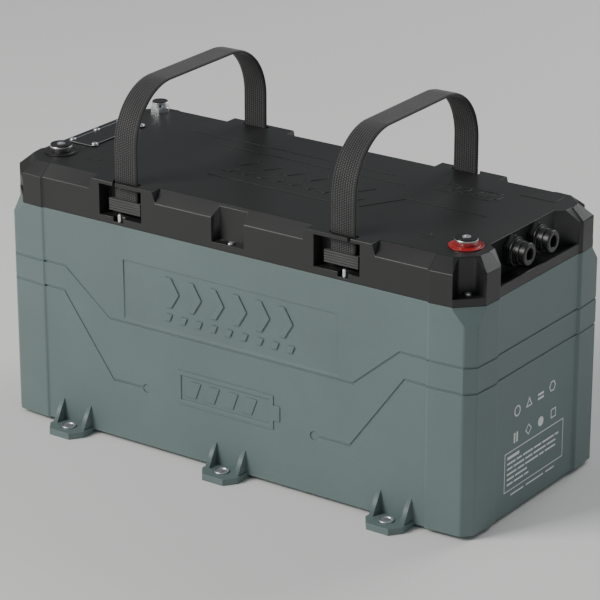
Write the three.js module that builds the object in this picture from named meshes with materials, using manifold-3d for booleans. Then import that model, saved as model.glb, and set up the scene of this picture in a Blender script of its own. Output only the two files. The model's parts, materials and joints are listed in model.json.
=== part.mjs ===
// A deep cycle lithium battery for a caravan: moulded case and lid, bolted terminals, sealed data
// connectors, a pressure vent and two webbing handles, with the cells and electronics inside.
// Millimetres, +Z up, +X towards the connector end, -Y the front. The origin is the middle of the
// footprint on the floor.
import * as THREE from 'three';
import { mergeVertices } from 'three/addons/utils/BufferGeometryUtils.js';
import Module from 'manifold-3d';

const wasm = await Module();
wasm.setup();

// ---- Driving dimensions --------------------------------------------------------------------

const FIT_GAP = 0.3; // clearance between pieces that touch in the real battery
const ROUND_SIDES = 20; // facets of a turned piece
const SMALL_SIDES = 12; // and of a screw or small hole
const OVERSHOOT = 1; // a cutter reaches this far past what it cuts
const FACE_GAP = 0.1; // between flat faces that touch in the real battery

// Case and lid outline, as distances from the middle of the battery
const PANEL_X = 256; // end faces
const PANEL_Y = 110.5; // long faces
const STRIP_RISE = 2; // how far the corner strips stand proud of the faces
const STEP_RUN = 2.5; // run of the slanted step up to a corner strip
const STRIP_X = 213; // where the strips start on the long faces
const STRIP_Y = 70; // where the strips start on the end faces
const UPPER_CORNER = [[236, 111], [256.8, 90.5]]; // wide corner chamfer, near the lid
const LOWER_CORNER = [[247.5, 110.3], [256.4, 101]]; // narrow corner chamfer, further down

// Heights
const CASE_FLOOR_Z = 4; // underside of the case, over the feet
const TRANSITION_LOW_Z = 200; // the narrow corner widens between these two heights
const TRANSITION_HIGH_Z = 213;
const LID_Z = 215; // split line
const LID_CHAMFER_Z = 244; // lower edge of the chamfer around the lid
const LID_TOP_Z = 255;
const LID_INSET = 13; // of the lid's flat top on the long sides
const LID_END_INSET = 10.5; // and on the ends
const TOP_CORNER = [[228, 98.1], [245, 82]]; // corner of the flat top
const TOP_STRIP_RISE = 1.4; // of the corner strips, at the flat top

// Hollow
const CAVITY_X = 248.5;
const CAVITY_Y = 100.5;
const CAVITY_CORNER = 25.15; // leg of the chamfer that leaves room for the corner screws
const CASE_BASE_Z = 10; // top of the case floor
const LID_CAVITY_X = [-237, 232];
const LID_CAVITY_Y = 93.5;
const LID_CAVITY_CORNER = 12;
const LID_CAVITY_Z = 250;
const GASKET_WIDTH = 2;
const GASKET_Z = 213;

// Moulded grooves and recesses in the case
const GROOVE = { width: 2, depth: 1 };
const UPPER_GROOVE = { z: 162, from: -187, to: 183.7, lowZ: 121.3, lowFrom: -136, lowTo: 135.4 };
const LOWER_GROOVE = { z: 137.7, from: 189, lowZ: 61.2, lowFrom: 132.5 };
const GROOVE_DOT = { x: 94, z: 61, radius: 4.5 };
const FRAME_RECESS = { x: 119, low: 127, high: 183, depth: 1 };

// Feet
const FEET_X = [-179.5, 0, 179.5];
const FOOT = { reach: 137, width: 40, tip: 23, thickness: 6.3, chamferRun: 11.5, holeY: 122.5 };
const FOOT_RIB = { offset: 16.15, width: 4.7, top: 28.3, reach: 123, root: 4 };
const BUSHING = { outer: 7, inner: 4.5, low: 0.2, top: 7.6 };

// Strap windows, one at each end of both handles
const HANDLE_X = 119;
const FACE_CUT_REACH = 5; // how far cutters start outside the long faces
const BLOCK = { base: 39.1, top: 35, low: 240, back: 90 }; // flat block round each window
const WINDOW = { shift: -2, half: 24, low: 222, high: 251.3, back: 97 };
const BRIDGE_BACK = 105.5; // the bridge over a window runs from the face back to here
const STRAP_SLOT = { skew: 3, half: 15, back: 101 }; // skewed to +X at the front, to -X at the back
const SLIT = { outer: 7.6, front: 9.7, back: 13, width: 2.4 }; // oblique cut through the bridge, as x
const NOTCH = { offset: 4.7, half: 5.5, low: 217.6, back: 101.5, screwY: 107.3 };

// Handles
const WEBBING = { width: 25.4, thickness: 2.8 };
const WEBBING_Y = 103.5; // middle of a standing leg
const HANDLE_TOP_Z = 343;
const HANDLE_BEND = 56; // outer radius of the top corners
const BEND_STEPS = 7;
const HANDLE_PIVOT_Z = 268.3;
const LEG_END_RADIUS = 12.4;
const ANCHOR = { skew: 2, half: 18, low: 226, high: 238.4, front: 106.4, thickness: 5 };
const ANCHOR_RIBS = { count: 4, depth: 0.7, edge: 0.2, gap: 0.05 };
const STRAP_END = { low: 227, high: 255.2 }; // the sewn part below each leg

// Lid pockets
const MID_POCKET = { mouth: 17.7, back: 15.5, depth: 10, low: 221.5, screwY: 105, counterbore: 4.5 };
const CORNER_POCKET = {
  mouth: 15, back: 8, depth: 13, radius: 4, ease: 2.4, low: 222, outside: 8, screw: [240, 93],
};
const LID_SCREW = { head: 3.1, shank: 1.4, grip: 8, headHeight: 2.2 };
const NOTCH_SCREW = { head: 2.1, shank: 1.4, grip: 8, headHeight: 7.2 };
const SCREW_CLEARANCE = 0.3;
const DOME = 0.3; // share of a screw head's radius that its rounding takes

// Connector recess and its two connectors
const RECESS = { back: 237, half: 54, mouth: 67.5, low: 221.5, rim: 224, rimWidth: 3 };
const CONNECTOR = { y: 20, z: 240, nut: 15, nutX: [237.3, 242.3], body: 10.5, front: 257 };
const CONNECTOR_FLANGE = { radius: 13, x: [242.7, 244.3] };
const CONNECTOR_GROOVE = { depth: 1, x: [250.4, 251.6] };
const CONNECTOR_NOSE = { radius: 10.1, chamfer: 1 };
const CONNECTOR_BORE = { radius: 5.3, depth: 14 };
const CONNECTOR_SEAT = { radius: 8, x: 229, length: 12 };

// Terminals
const NEGATIVE = [-224, -68];
const POSITIVE = [222, -68];
const POST = {
  waist: 8.2, neckZ: 256.6, head: 10.4, rimZ: 260.4, headZ: 262, flange: 9.3, flangeZ: 243, footZ: 238,
  hole: 8.6,
};
const TERMINAL_RING = { outer: 15.5, height: 1.4, chamfer: 0.6 };
const TERMINAL_CAP = { outer: 10, top: 263.5 };
const TERMINAL_BOLT = { radius: 4, top: 263.9, low: 240, chamfer: 0.5, dimple: 1.6, dimpleDepth: 0.6 };

// Service cover and vent
const SERVICE = { x: [-237, -209.5], y: 41, thickness: 1.2, tab: 3.9, screwX: [-236.2, -210.3] };
const SERVICE_SCREWS_Y = [-35.5, 0, 35.5];
const SERVICE_WELL = { x: [-229, -213.5], y: 36 };
const SERVICE_SCREW = { head: 2.9, shank: 1.25, grip: 3, headHeight: 1.9 };
const VENT = {
  at: [-227.5, 87.5], seat: 10.5, stem: 5, stemLength: 10, passage: 2, hex: 8.5, hexHeight: 4.2,
  barrel: 7.7, wall: 1.4, rim: 1.5, top: 265.5, hole: 1.2, holeRise: 2.5,
};

// Inside
const CELL = { count: 8, thickness: 54, width: 174, low: 10.6, lid: 201.5, high: 203.5, gap: 0.6, stud: 7 };
const END_PLATE = { thickness: 5, top: 197.5 };
const LINK_BOARD = { x: 200, y: 60, low: 206, high: 209 };
const BMS = { x: [-196, -60], y: 70, low: 214, high: 230 };
const FINS = { count: 7, start: 8, pitch: 18, thickness: 3, height: 5, margin: 6 };
const BUSBAR = { width: 20, thickness: 3, rise: 18, tongue: 4, start: [-198, 130] };

// ---- Materials -----------------------------------------------------------------------------

function material(color, roughness, metalness = 0) {
  return new THREE.MeshStandardMaterial({ color, roughness, metalness });
}

const casePlastic = material(0x74817f, 0.6);
const lidPlastic = material(0x343635, 0.62);
const blackPlastic = material(0x222323, 0.5);
const redPlastic = material(0xb02525, 0.45);
const webbingNylon = material(0x464644, 0.9);
const gasketRubber = material(0x1b1b1b, 0.85);
const steel = material(0xc9ccce, 0.3, 1);
const copper = material(0xb87345, 0.35, 1);
const aluminium = material(0xb9bcbe, 0.4, 1);
const boardGreen = material(0x1f4d36, 0.6);

// ---- Solids --------------------------------------------------------------------------------

const SIGNS = [-1, 1];
const CORNERS = [[1, 1], [-1, 1], [-1, -1], [1, -1]];
const ALONG_X = new THREE.Matrix4().makeBasis(
  new THREE.Vector3(0, 1, 0), new THREE.Vector3(0, 0, 1), new THREE.Vector3(1, 0, 0));
const ALONG_Y = new THREE.Matrix4().makeBasis(
  new THREE.Vector3(0, 0, 1), new THREE.Vector3(1, 0, 0), new THREE.Vector3(0, 1, 0));

// A closed geometry as a solid that can be joined and cut.
function solid(geometry) {
  const bare = geometry.clone();
  bare.deleteAttribute('normal');
  bare.deleteAttribute('uv');
  const merged = mergeVertices(bare, 1e-4);
  return new wasm.Manifold(new wasm.Mesh({
    numProp: 3,
    vertProperties: new Float32Array(merged.attributes.position.array),
    triVerts: new Uint32Array(merged.index.array),
  }));
}

// A solid as a geometry again.
function geometryOf(body) {
  const { vertProperties, triVerts } = body.getMesh();
  const geometry = new THREE.BufferGeometry();
  geometry.setAttribute('position', new THREE.BufferAttribute(vertProperties, 3));
  geometry.setIndex(new THREE.BufferAttribute(triVerts, 1));
  geometry.computeVertexNormals();
  return geometry;
}

function cut(body, ...tools) {
  return tools.reduce((rest, tool) => rest.subtract(tool), body);
}

function join(body, ...others) {
  return others.reduce((whole, other) => whole.add(other), body);
}

// A straight prism on an outline of [u, v] points, between two heights along its length.
function prismGeometry(points, low, high) {
  const shape = new THREE.Shape(points.map(([u, v]) => new THREE.Vector2(u, v)));
  const geometry = new THREE.ExtrudeGeometry(shape, { depth: high - low, bevelEnabled: false });
  return geometry.translate(0, 0, low);
}

// Prisms along Z on [x, y] points, along X on [y, z] points and along Y on [z, x] points.
const prismZ = (points, low, high) => solid(prismGeometry(points, low, high));
const prismX = (points, low, high) => solid(prismGeometry(points, low, high).applyMatrix4(ALONG_X));
const prismY = (points, low, high) => solid(prismGeometry(points, low, high).applyMatrix4(ALONG_Y));

function box([x0, x1], [y0, y1], [z0, z1]) {
  const geometry = new THREE.BoxGeometry(x1 - x0, Math.abs(y1 - y0), z1 - z0);
  return solid(geometry.translate((x0 + x1) / 2, (y0 + y1) / 2, (z0 + z1) / 2));
}

// A turned piece: [radius, height] points from the axis round to the axis, about +Z.
function turned(profile, sides = ROUND_SIDES) {
  const points = profile.map(([r, z]) => new THREE.Vector2(r, z));
  return solid(new THREE.LatheGeometry(points, sides).rotateX(Math.PI / 2));
}

function cylinder(radius, low, high, sides = ROUND_SIDES) {
  return turned([[0, low], [radius, low], [radius, high], [0, high]], sides);
}

function moved(body, x, y, z = 0) {
  return solid(geometryOf(body).translate(x, y, z));
}

// A body turned about +Z lies along +X instead, with its foot at x = 0.
function laidAlongX(body) {
  return solid(geometryOf(body).rotateY(Math.PI / 2));
}

// A solid through rings of [x, y] points, one ring for each height, all with as many points.
function loft(rings) {
  const count = rings[0].points.length;
  const positions = rings.flatMap(({ z, points }) => points.flatMap(([x, y]) => [x, y, z]));
  const indices = [];
  for (let level = 0; level + 1 < rings.length; level += 1) {
    for (let i = 0; i < count; i += 1) {
      const [a, b] = [level * count + i, level * count + ((i + 1) % count)];
      indices.push(a, b, b + count, a, b + count, a + count);
    }
  }
  const contour = rings[0].points.map(([x, y]) => new THREE.Vector2(x, y));
  const last = (rings.length - 1) * count;
  for (const [a, b, c] of THREE.ShapeUtils.triangulateShape(contour, [])) {
    indices.push(a, c, b, last + a, last + b, last + c);
  }
  const geometry = new THREE.BufferGeometry();
  geometry.setAttribute('position', new THREE.Float32BufferAttribute(positions, 3));
  geometry.setIndex(indices);
  return solid(geometry);
}

// ---- Outlines ------------------------------------------------------------------------------

// A plan outline, anticlockwise, from the points of its quarter with x and y positive. The
// quarter runs from the long side round to the end.
function fourQuarters(quarter) {
  return CORNERS.flatMap(([sx, sy], i) => {
    const points = i % 2 === 0 ? [...quarter].reverse() : quarter;
    return points.map(([x, y]) => [sx * x, sy * y]);
  });
}

// The body outline with its proud corner strips, for one corner chamfer.
function bodyOutline([cornerLong, cornerEnd]) {
  return fourQuarters([
    [STRIP_X - STEP_RUN, PANEL_Y], [STRIP_X, PANEL_Y + STRIP_RISE], cornerLong,
    cornerEnd, [PANEL_X + STRIP_RISE, STRIP_Y], [PANEL_X, STRIP_Y - STEP_RUN],
  ]);
}

const upperOutline = bodyOutline(UPPER_CORNER);
const lowerOutline = bodyOutline(LOWER_CORNER);

// The lid's flat top, inside the chamfer.
const topOutline = fourQuarters([
  [STRIP_X - STEP_RUN, PANEL_Y - LID_INSET],
  [STRIP_X, PANEL_Y - LID_INSET + TOP_STRIP_RISE],
  ...TOP_CORNER,
  [PANEL_X - LID_END_INSET + TOP_STRIP_RISE, STRIP_Y],
  [PANEL_X - LID_END_INSET, STRIP_Y - STEP_RUN],
]);

function chamferedRectangle(halfX, halfY, corner) {
  return fourQuarters([[halfX - corner, halfY], [halfX, halfY - corner]]);
}

// A band of even width along a path of [u, v] points, with mitred turns.
function band(path, width) {
  const points = path.map(([u, v]) => new THREE.Vector2(u, v));
  const side = (i, sign) => {
    const before = points[Math.max(i - 1, 0)];
    const after = points[Math.min(i + 1, points.length - 1)];
    const inward = points[i].clone().sub(before).normalize();
    const outward = after.clone().sub(points[i]).normalize();
    const along = inward.clone().add(outward).normalize();
    const stretch = 1 / Math.max(along.dot(outward), along.dot(inward));
    const reach = sign * (width / 2) * stretch;
    return [points[i].x - along.y * reach, points[i].y + along.x * reach];
  };
  const indices = path.map((_, i) => i);
  return [...indices.map((i) => side(i, -1)), ...indices.reverse().map((i) => side(i, 1))];
}

// ---- Case ----------------------------------------------------------------------------------

// One foot at the front (side -1) or the back (side 1): a drilled plate with two gussets.
function foot(x, side) {
  const { reach, width, tip, thickness, chamferRun, holeY } = FOOT;
  const plate = prismZ([
    [x - width / 2, side * (PANEL_Y - FOOT_RIB.root)], [x + width / 2, side * (PANEL_Y - FOOT_RIB.root)],
    [x + width / 2, side * (reach - chamferRun)], [x + tip / 2, side * reach],
    [x - tip / 2, side * reach], [x - width / 2, side * (reach - chamferRun)],
  ], 0, thickness);
  const gussets = SIGNS.map((sign) => {
    const middle = x + sign * FOOT_RIB.offset;
    const profile = [
      [side * (PANEL_Y - FOOT_RIB.root), thickness - OVERSHOOT],
      [side * FOOT_RIB.reach, thickness - OVERSHOOT],
      [side * FOOT_RIB.reach, thickness], [side * PANEL_Y, FOOT_RIB.top],
      [side * (PANEL_Y - FOOT_RIB.root), FOOT_RIB.top],
    ];
    return prismX(profile, middle - FOOT_RIB.width / 2, middle + FOOT_RIB.width / 2);
  });
  const hole = moved(cylinder(BUSHING.outer + FIT_GAP, -OVERSHOOT, thickness + OVERSHOOT), x, side * holeY);
  return cut(join(plate, ...gussets), hole);
}

// The groove that runs along a long face, lower in the middle, as [z, x] points.
function upperGroovePath() {
  const { z, from, to, lowZ, lowFrom, lowTo } = UPPER_GROOVE;
  return [[z, -STRIP_X], [z, from], [lowZ, lowFrom], [lowZ, lowTo], [z, to], [z, STRIP_X]];
}

// The branch below it, on one side, which ends at a round dot.
function lowerGroovePath(sign) {
  const { z, from, lowZ, lowFrom } = LOWER_GROOVE;
  const path = [[z, STRIP_X], [z, from], [lowZ, lowFrom], [lowZ, GROOVE_DOT.x]];
  return path.map(([height, x]) => [height, sign * x]);
}

// A groove at one height round both ends of the case, as far as the corner strips reach.
function endGrooves(z) {
  const inner = prismZ(fourQuarters([
    [STRIP_X - STEP_RUN, PANEL_Y - GROOVE.depth],
    [STRIP_X, PANEL_Y + STRIP_RISE - GROOVE.depth],
    [LOWER_CORNER[0][0] - GROOVE.depth / 2, LOWER_CORNER[0][1] - GROOVE.depth],
    [LOWER_CORNER[1][0] - GROOVE.depth, LOWER_CORNER[1][1] - GROOVE.depth / 2],
    [PANEL_X + STRIP_RISE - GROOVE.depth, STRIP_Y], [PANEL_X - GROOVE.depth, STRIP_Y - STEP_RUN],
  ]), 0, LID_Z);
  return SIGNS.map((sign) => {
    const [near, far] = [sign * (STRIP_X - STEP_RUN), sign * (PANEL_X + FOOT.reach)];
    const slab = box([Math.min(near, far), Math.max(near, far)], [-FOOT.reach, FOOT.reach],
      [z - GROOVE.width / 2, z + GROOVE.width / 2]);
    return slab.subtract(inner);
  });
}

// Everything cut from one long face: grooves, their end dots and the recessed frame.
function faceCuts(side) {
  const [low, high] = side < 0
    ? [-PANEL_Y - STRIP_RISE - OVERSHOOT, -PANEL_Y + GROOVE.depth]
    : [PANEL_Y - GROOVE.depth, PANEL_Y + STRIP_RISE + OVERSHOOT];
  const grooves = [upperGroovePath(), ...SIGNS.map(lowerGroovePath)];
  const cuts = grooves.map((path) => prismY(band(path, GROOVE.width), low, high));
  const { x, low: frameLow, high: frameHigh } = FRAME_RECESS;
  cuts.push(box([-x, x], [low, high], [frameLow, frameHigh]));
  for (const sign of SIGNS) {
    const dot = cylinder(GROOVE_DOT.radius, 0, high - low, SMALL_SIDES);
    const turnedDot = solid(geometryOf(dot).rotateX(-Math.PI / 2));
    cuts.push(moved(turnedDot, sign * GROOVE_DOT.x, low, GROOVE_DOT.z));
  }
  return cuts;
}

// The places of the ten lid screws: [x, y, height under the head].
const lidScrews = [
  ...SIGNS.map((sy) => [0, sy * MID_POCKET.screwY, MID_POCKET.low - OVERSHOOT]),
  ...CORNERS.map(([sx, sy]) => [sx * (HANDLE_X + NOTCH.offset), sy * NOTCH.screwY, NOTCH.low]),
  ...CORNERS.map(([sx, sy]) => [
    sx * CORNER_POCKET.screw[0], sy * CORNER_POCKET.screw[1], CORNER_POCKET.low]),
];

function screwHoles(radius, low, high) {
  return lidScrews.map(([x, y]) => moved(cylinder(radius, low, high, SMALL_SIDES), x, y));
}

function makeCase() {
  const shell = loft([
    { z: CASE_FLOOR_Z, points: lowerOutline },
    { z: TRANSITION_LOW_Z, points: lowerOutline },
    { z: TRANSITION_HIGH_Z, points: upperOutline },
    { z: LID_Z - FIT_GAP, points: upperOutline },
  ]);
  const hollow = prismZ(chamferedRectangle(CAVITY_X, CAVITY_Y, CAVITY_CORNER), CASE_BASE_Z, LID_Z);
  const gasketSeat = prismZ(
    chamferedRectangle(CAVITY_X + GASKET_WIDTH + FIT_GAP, CAVITY_Y + GASKET_WIDTH + FIT_GAP,
      CAVITY_CORNER), GASKET_Z, LID_Z);
  const feet = FEET_X.flatMap((x) => SIGNS.map((side) => foot(x, side)));
  const grooves = [...endGrooves(UPPER_GROOVE.z), ...endGrooves(LOWER_GROOVE.z)];
  const faces = SIGNS.flatMap((side) => faceCuts(side));
  return cut(join(shell, ...feet), hollow, gasketSeat, ...grooves, ...faces,
    ...screwHoles(LID_SCREW.shank + SCREW_CLEARANCE, LID_Z - LID_SCREW.grip - 1, LID_Z + OVERSHOOT));
}

function makeGasket() {
  const outer = chamferedRectangle(CAVITY_X + GASKET_WIDTH, CAVITY_Y + GASKET_WIDTH, CAVITY_CORNER);
  const inner = chamferedRectangle(CAVITY_X, CAVITY_Y, CAVITY_CORNER);
  return cut(
    prismZ(outer, GASKET_Z + FACE_GAP, LID_Z - FACE_GAP), prismZ(inner, 0, LID_Z + OVERSHOOT));
}

// ---- Lid -----------------------------------------------------------------------------------

// The middle of a strap window, which is a little off the middle of its block.
function windowX(sx) {
  return sx * HANDLE_X + WINDOW.shift;
}

// The flat block on a long side that a strap window goes through.
function strapBlock(x, side) {
  const ring = (half) => {
    const points = [
      [x - half, side * PANEL_Y], [x + half, side * PANEL_Y],
      [x + half, side * BLOCK.back], [x - half, side * BLOCK.back],
    ];
    return side < 0 ? points : points.reverse();
  };
  return loft([{ z: BLOCK.low, points: ring(BLOCK.base) }, { z: LID_TOP_Z, points: ring(BLOCK.top) }]);
}

// A strap window with its slot, its oblique slit and the notch for the screw under it.
function windowCuts(sx, side) {
  const x = windowX(sx);
  const slotX = x - side * STRAP_SLOT.skew;
  const span = (a, b) => [Math.min(side * a, side * b), Math.max(side * a, side * b)];
  const about = (middle, half) => [middle - half, middle + half];
  const out = PANEL_Y + FACE_CUT_REACH;
  const notchX = sx * (HANDLE_X + NOTCH.offset);
  const [low, high] = [WINDOW.high - OVERSHOOT, LID_TOP_Z + OVERSHOOT];
  return [
    box(about(x, WINDOW.half), span(WINDOW.back, out), [WINDOW.low, WINDOW.high]),
    box(about(slotX, STRAP_SLOT.half), span(STRAP_SLOT.back, BRIDGE_BACK), [low, high]),
    prismZ(band([[slotX + sx * SLIT.outer, side * out], [slotX + sx * SLIT.front, side * PANEL_Y],
      [slotX + sx * SLIT.back, side * (BRIDGE_BACK - OVERSHOOT)]], SLIT.width), low, high),
    box(about(notchX, NOTCH.half), span(NOTCH.back, out), [NOTCH.low, WINDOW.low + OVERSHOOT]),
  ];
}

// The screw pocket in the middle of a long side.
function midPocket(side) {
  const { mouth, back, depth, low, screwY, counterbore } = MID_POCKET;
  const out = PANEL_Y + FACE_CUT_REACH;
  const pocket = prismZ([
    [-mouth, side * out], [mouth, side * out], [mouth, side * PANEL_Y],
    [back, side * (PANEL_Y - depth)], [-back, side * (PANEL_Y - depth)], [-mouth, side * PANEL_Y],
  ], low, LID_TOP_Z + OVERSHOOT);
  const well = cylinder(counterbore, low - OVERSHOOT, low + OVERSHOOT, SMALL_SIDES);
  return [pocket, moved(well, 0, side * screwY)];
}

// The screw pocket in a corner, drawn across the diagonal and then turned onto its corner.
function cornerPocket(sx, sy) {
  const { mouth, back, depth, radius, ease, low, outside } = CORNER_POCKET;
  const shape = new THREE.Shape();
  shape.moveTo(outside, -mouth);
  shape.lineTo(0, -mouth);
  shape.lineTo(-depth + radius, -back - ease);
  shape.quadraticCurveTo(-depth, -back, -depth, -back + ease);
  shape.lineTo(-depth, back - ease);
  shape.quadraticCurveTo(-depth, back, -depth + radius, back + ease);
  shape.lineTo(0, mouth);
  shape.lineTo(outside, mouth);
  const options = { depth: LID_TOP_Z - low + OVERSHOOT, bevelEnabled: false, curveSegments: 3 };
  const geometry = new THREE.ExtrudeGeometry(shape, options);
  const [x, y] = [0, 1].map((axis) => (UPPER_CORNER[0][axis] + UPPER_CORNER[1][axis]) / 2);
  return solid(geometry.rotateZ(Math.atan2(sy, sx)).translate(sx * x, sy * y, low));
}

// The recess at the connector end, open at the top, with a raised rim along its outer edge.
function connectorRecess() {
  const { back, half, mouth, low, rim, rimWidth } = RECESS;
  const edge = PANEL_X + STRIP_RISE;
  const outline = (outer) => {
    const halfAt = half + (mouth - half) * (outer - back) / (edge - back);
    return [[back, -half], [outer, -halfAt], [outer, halfAt], [back, half]];
  };
  return join(
    prismZ(outline(PANEL_X - rimWidth), low, LID_TOP_Z + OVERSHOOT),
    prismZ(outline(PANEL_X + rimWidth), rim, LID_TOP_Z + OVERSHOOT));
}

function makeLid() {
  const shell = loft([
    { z: LID_Z, points: upperOutline },
    { z: LID_CHAMFER_Z, points: upperOutline },
    { z: LID_TOP_Z, points: topOutline },
  ]);
  const blocks = SIGNS.flatMap((sx) => SIGNS.map((side) => strapBlock(sx * HANDLE_X, side)));
  const [x0, x1] = LID_CAVITY_X;
  const half = (x1 - x0) / 2;
  const hollow = moved(
    prismZ(chamferedRectangle(half, LID_CAVITY_Y, LID_CAVITY_CORNER), LID_Z - OVERSHOOT, LID_CAVITY_Z),
    (x0 + x1) / 2, 0);
  const body = cut(join(shell, ...blocks), hollow);
  const roof = [LID_CAVITY_Z - OVERSHOOT, LID_TOP_Z + OVERSHOOT];
  const terminals = [NEGATIVE, POSITIVE].map(([x, y]) => (
    moved(cylinder(POST.hole, ...roof), x, y)));
  const connectorHoles = SIGNS.map((sign) => (
    moved(laidAlongX(cylinder(CONNECTOR_SEAT.radius + FIT_GAP, 0, CONNECTOR_SEAT.length)),
      CONNECTOR_SEAT.x, sign * CONNECTOR.y, CONNECTOR.z)));
  const well = box(SERVICE_WELL.x, [-SERVICE_WELL.y, SERVICE_WELL.y], roof);
  const stem = moved(cylinder(VENT.stem + FIT_GAP, LID_CHAMFER_Z - OVERSHOOT, roof[1]), ...VENT.at);
  const ventSeat = moved(cylinder(VENT.seat, LID_CHAMFER_Z, LID_TOP_Z), ...VENT.at);
  const serviceHoles = SERVICE.screwX.flatMap((x) => SERVICE_SCREWS_Y.map((y) => (
    moved(cylinder(SERVICE_SCREW.shank + SCREW_CLEARANCE, ...roof, SMALL_SIDES), x, y))));
  return cut(join(body, ventSeat),
    ...SIGNS.flatMap((sx) => SIGNS.flatMap((side) => windowCuts(sx, side))),
    ...SIGNS.flatMap(midPocket),
    ...CORNERS.map(([sx, sy]) => cornerPocket(sx, sy)),
    connectorRecess(), ...connectorHoles, ...terminals, well, stem, ...serviceHoles,
    ...screwHoles(LID_SCREW.shank + SCREW_CLEARANCE, LID_Z - OVERSHOOT, MID_POCKET.low + OVERSHOOT));
}

// ---- Fasteners and fittings ----------------------------------------------------------------

// A pan-head screw whose head sits on z = 0.
function makeScrew({ head, shank, grip, headHeight }) {
  return turned([
    [0, -grip], [shank, -grip], [shank, 0], [head, 0],
    [head, headHeight - head * DOME], [head * (1 - DOME), headHeight], [0, headHeight],
  ], SMALL_SIDES);
}

function makeBushing() {
  const { outer, inner, low, top } = BUSHING;
  return turned([[inner, low], [outer, low], [outer, top], [inner, top], [inner, low]]);
}

function makePost() {
  const { waist, neckZ, head, rimZ, headZ, flange, flangeZ, footZ } = POST;
  const bore = TERMINAL_BOLT.radius + FIT_GAP;
  return turned([
    [bore, footZ], [flange, footZ], [flange, flangeZ], [waist, flangeZ], [waist, neckZ],
    [head, rimZ], [head, headZ], [bore, headZ], [bore, footZ],
  ]);
}

function makeTerminalRing() {
  const { outer, height, chamfer } = TERMINAL_RING;
  const inner = POST.waist + FIT_GAP;
  const [low, high] = [LID_TOP_Z + FACE_GAP, LID_TOP_Z + height];
  return turned([
    [inner, low], [outer, low], [outer, high - chamfer], [outer - chamfer, high],
    [inner, high], [inner, low],
  ]);
}

function makeTerminalCap() {
  const inner = TERMINAL_BOLT.radius + FIT_GAP;
  const { outer, top } = TERMINAL_CAP;
  const low = POST.headZ + FACE_GAP;
  return turned([[inner, low], [outer, low], [outer, top], [inner, top], [inner, low]]);
}

function makeTerminalBolt() {
  const { radius, top, low, chamfer, dimple, dimpleDepth } = TERMINAL_BOLT;
  return turned([[0, low], [radius, low], [radius, top - chamfer], [radius - chamfer, top],
    [dimple, top], [dimple - dimpleDepth, top - dimpleDepth], [0, top - dimpleDepth]]);
}

function makeServiceCover() {
  const { x: [x0, x1], y, thickness, tab, screwX } = SERVICE;
  const low = LID_TOP_Z + FACE_GAP;
  const high = low + thickness;
  const holeRadius = SERVICE_SCREW.shank + SCREW_CLEARANCE;
  const plate = box([x0, x1], [-y, y], [low, high]);
  const places = screwX.flatMap((x) => SERVICE_SCREWS_Y.map((yScrew) => [x, yScrew]));
  const tabs = places.map(([x, yTab]) => moved(cylinder(tab, low, high, SMALL_SIDES), x, yTab));
  const hole = cylinder(holeRadius, low - OVERSHOOT, high + OVERSHOOT, SMALL_SIDES);
  const holes = places.map(([x, yHole]) => moved(hole, x, yHole));
  return cut(join(plate, ...tabs), ...holes);
}

// The vent's hexagon, open barrel and threaded stem.
function makeVentBody() {
  const { stem, stemLength, passage, hex, hexHeight, barrel, wall, rim, top, hole, holeRise } = VENT;
  const base = LID_TOP_Z + FACE_GAP;
  const shoulder = base + hexHeight;
  const hexagon = cylinder(hex / Math.cos(Math.PI / 6), base, shoulder, 6);
  const outside = turned([[0, base - stemLength], [stem, base - stemLength], [stem, base + OVERSHOOT],
    [barrel, base + OVERSHOOT], [barrel, top - rim], [0, top - rim]]);
  const bore = cylinder(barrel - wall, shoulder, top);
  const way = cylinder(passage, base - stemLength - OVERSHOOT, shoulder + OVERSHOOT, SMALL_SIDES);
  const sideHole = moved(laidAlongX(cylinder(hole, 0, 2 * barrel, SMALL_SIDES)), 0, 0,
    shoulder + holeRise);
  return moved(cut(join(outside, hexagon), bore, way, sideHole), ...VENT.at);
}

function makeVentCap() {
  const { barrel, wall, rim, top } = VENT;
  const inner = barrel - wall - FIT_GAP;
  const low = top - rim + FACE_GAP;
  return moved(turned([[0, top - 2 * rim], [inner, top - 2 * rim], [inner, low], [barrel, low],
    [barrel, top - rim / 3], [barrel - rim / 3, top], [0, top]]), ...VENT.at);
}

// A connector along +X from z = 0 in its own frame: stem, flange, barrel, groove and socket.
function makeConnectorBody() {
  const { body, front } = CONNECTOR;
  const [flangeX, flangeEnd] = CONNECTOR_FLANGE.x;
  const [grooveX, grooveEnd] = CONNECTOR_GROOVE.x;
  const groove = body - CONNECTOR_GROOVE.depth;
  const nose = CONNECTOR_NOSE;
  const bore = CONNECTOR_BORE;
  const profile = [
    [0, CONNECTOR_SEAT.x], [CONNECTOR_SEAT.radius, CONNECTOR_SEAT.x],
    [CONNECTOR_SEAT.radius, flangeX], [CONNECTOR_FLANGE.radius, flangeX],
    [CONNECTOR_FLANGE.radius, flangeEnd], [body, flangeEnd],
    [body, grooveX], [groove, grooveX], [groove, grooveEnd], [nose.radius, grooveEnd],
    [nose.radius, front - nose.chamfer], [nose.radius - nose.chamfer, front],
    [bore.radius, front], [bore.radius, front - bore.depth], [0, front - bore.depth],
  ];
  return laidAlongX(turned(profile.map(([radius, x]) => [radius, x - CONNECTOR_SEAT.x])));
}

function makeConnectorNut() {
  const { nut, nutX: [x0, x1] } = CONNECTOR;
  const hole = cylinder(CONNECTOR_SEAT.radius + FIT_GAP, -OVERSHOOT, x1 - x0 + OVERSHOOT);
  return laidAlongX(cut(cylinder(nut, 0, x1 - x0, 6), hole));
}

// ---- Handles -------------------------------------------------------------------------------

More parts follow.
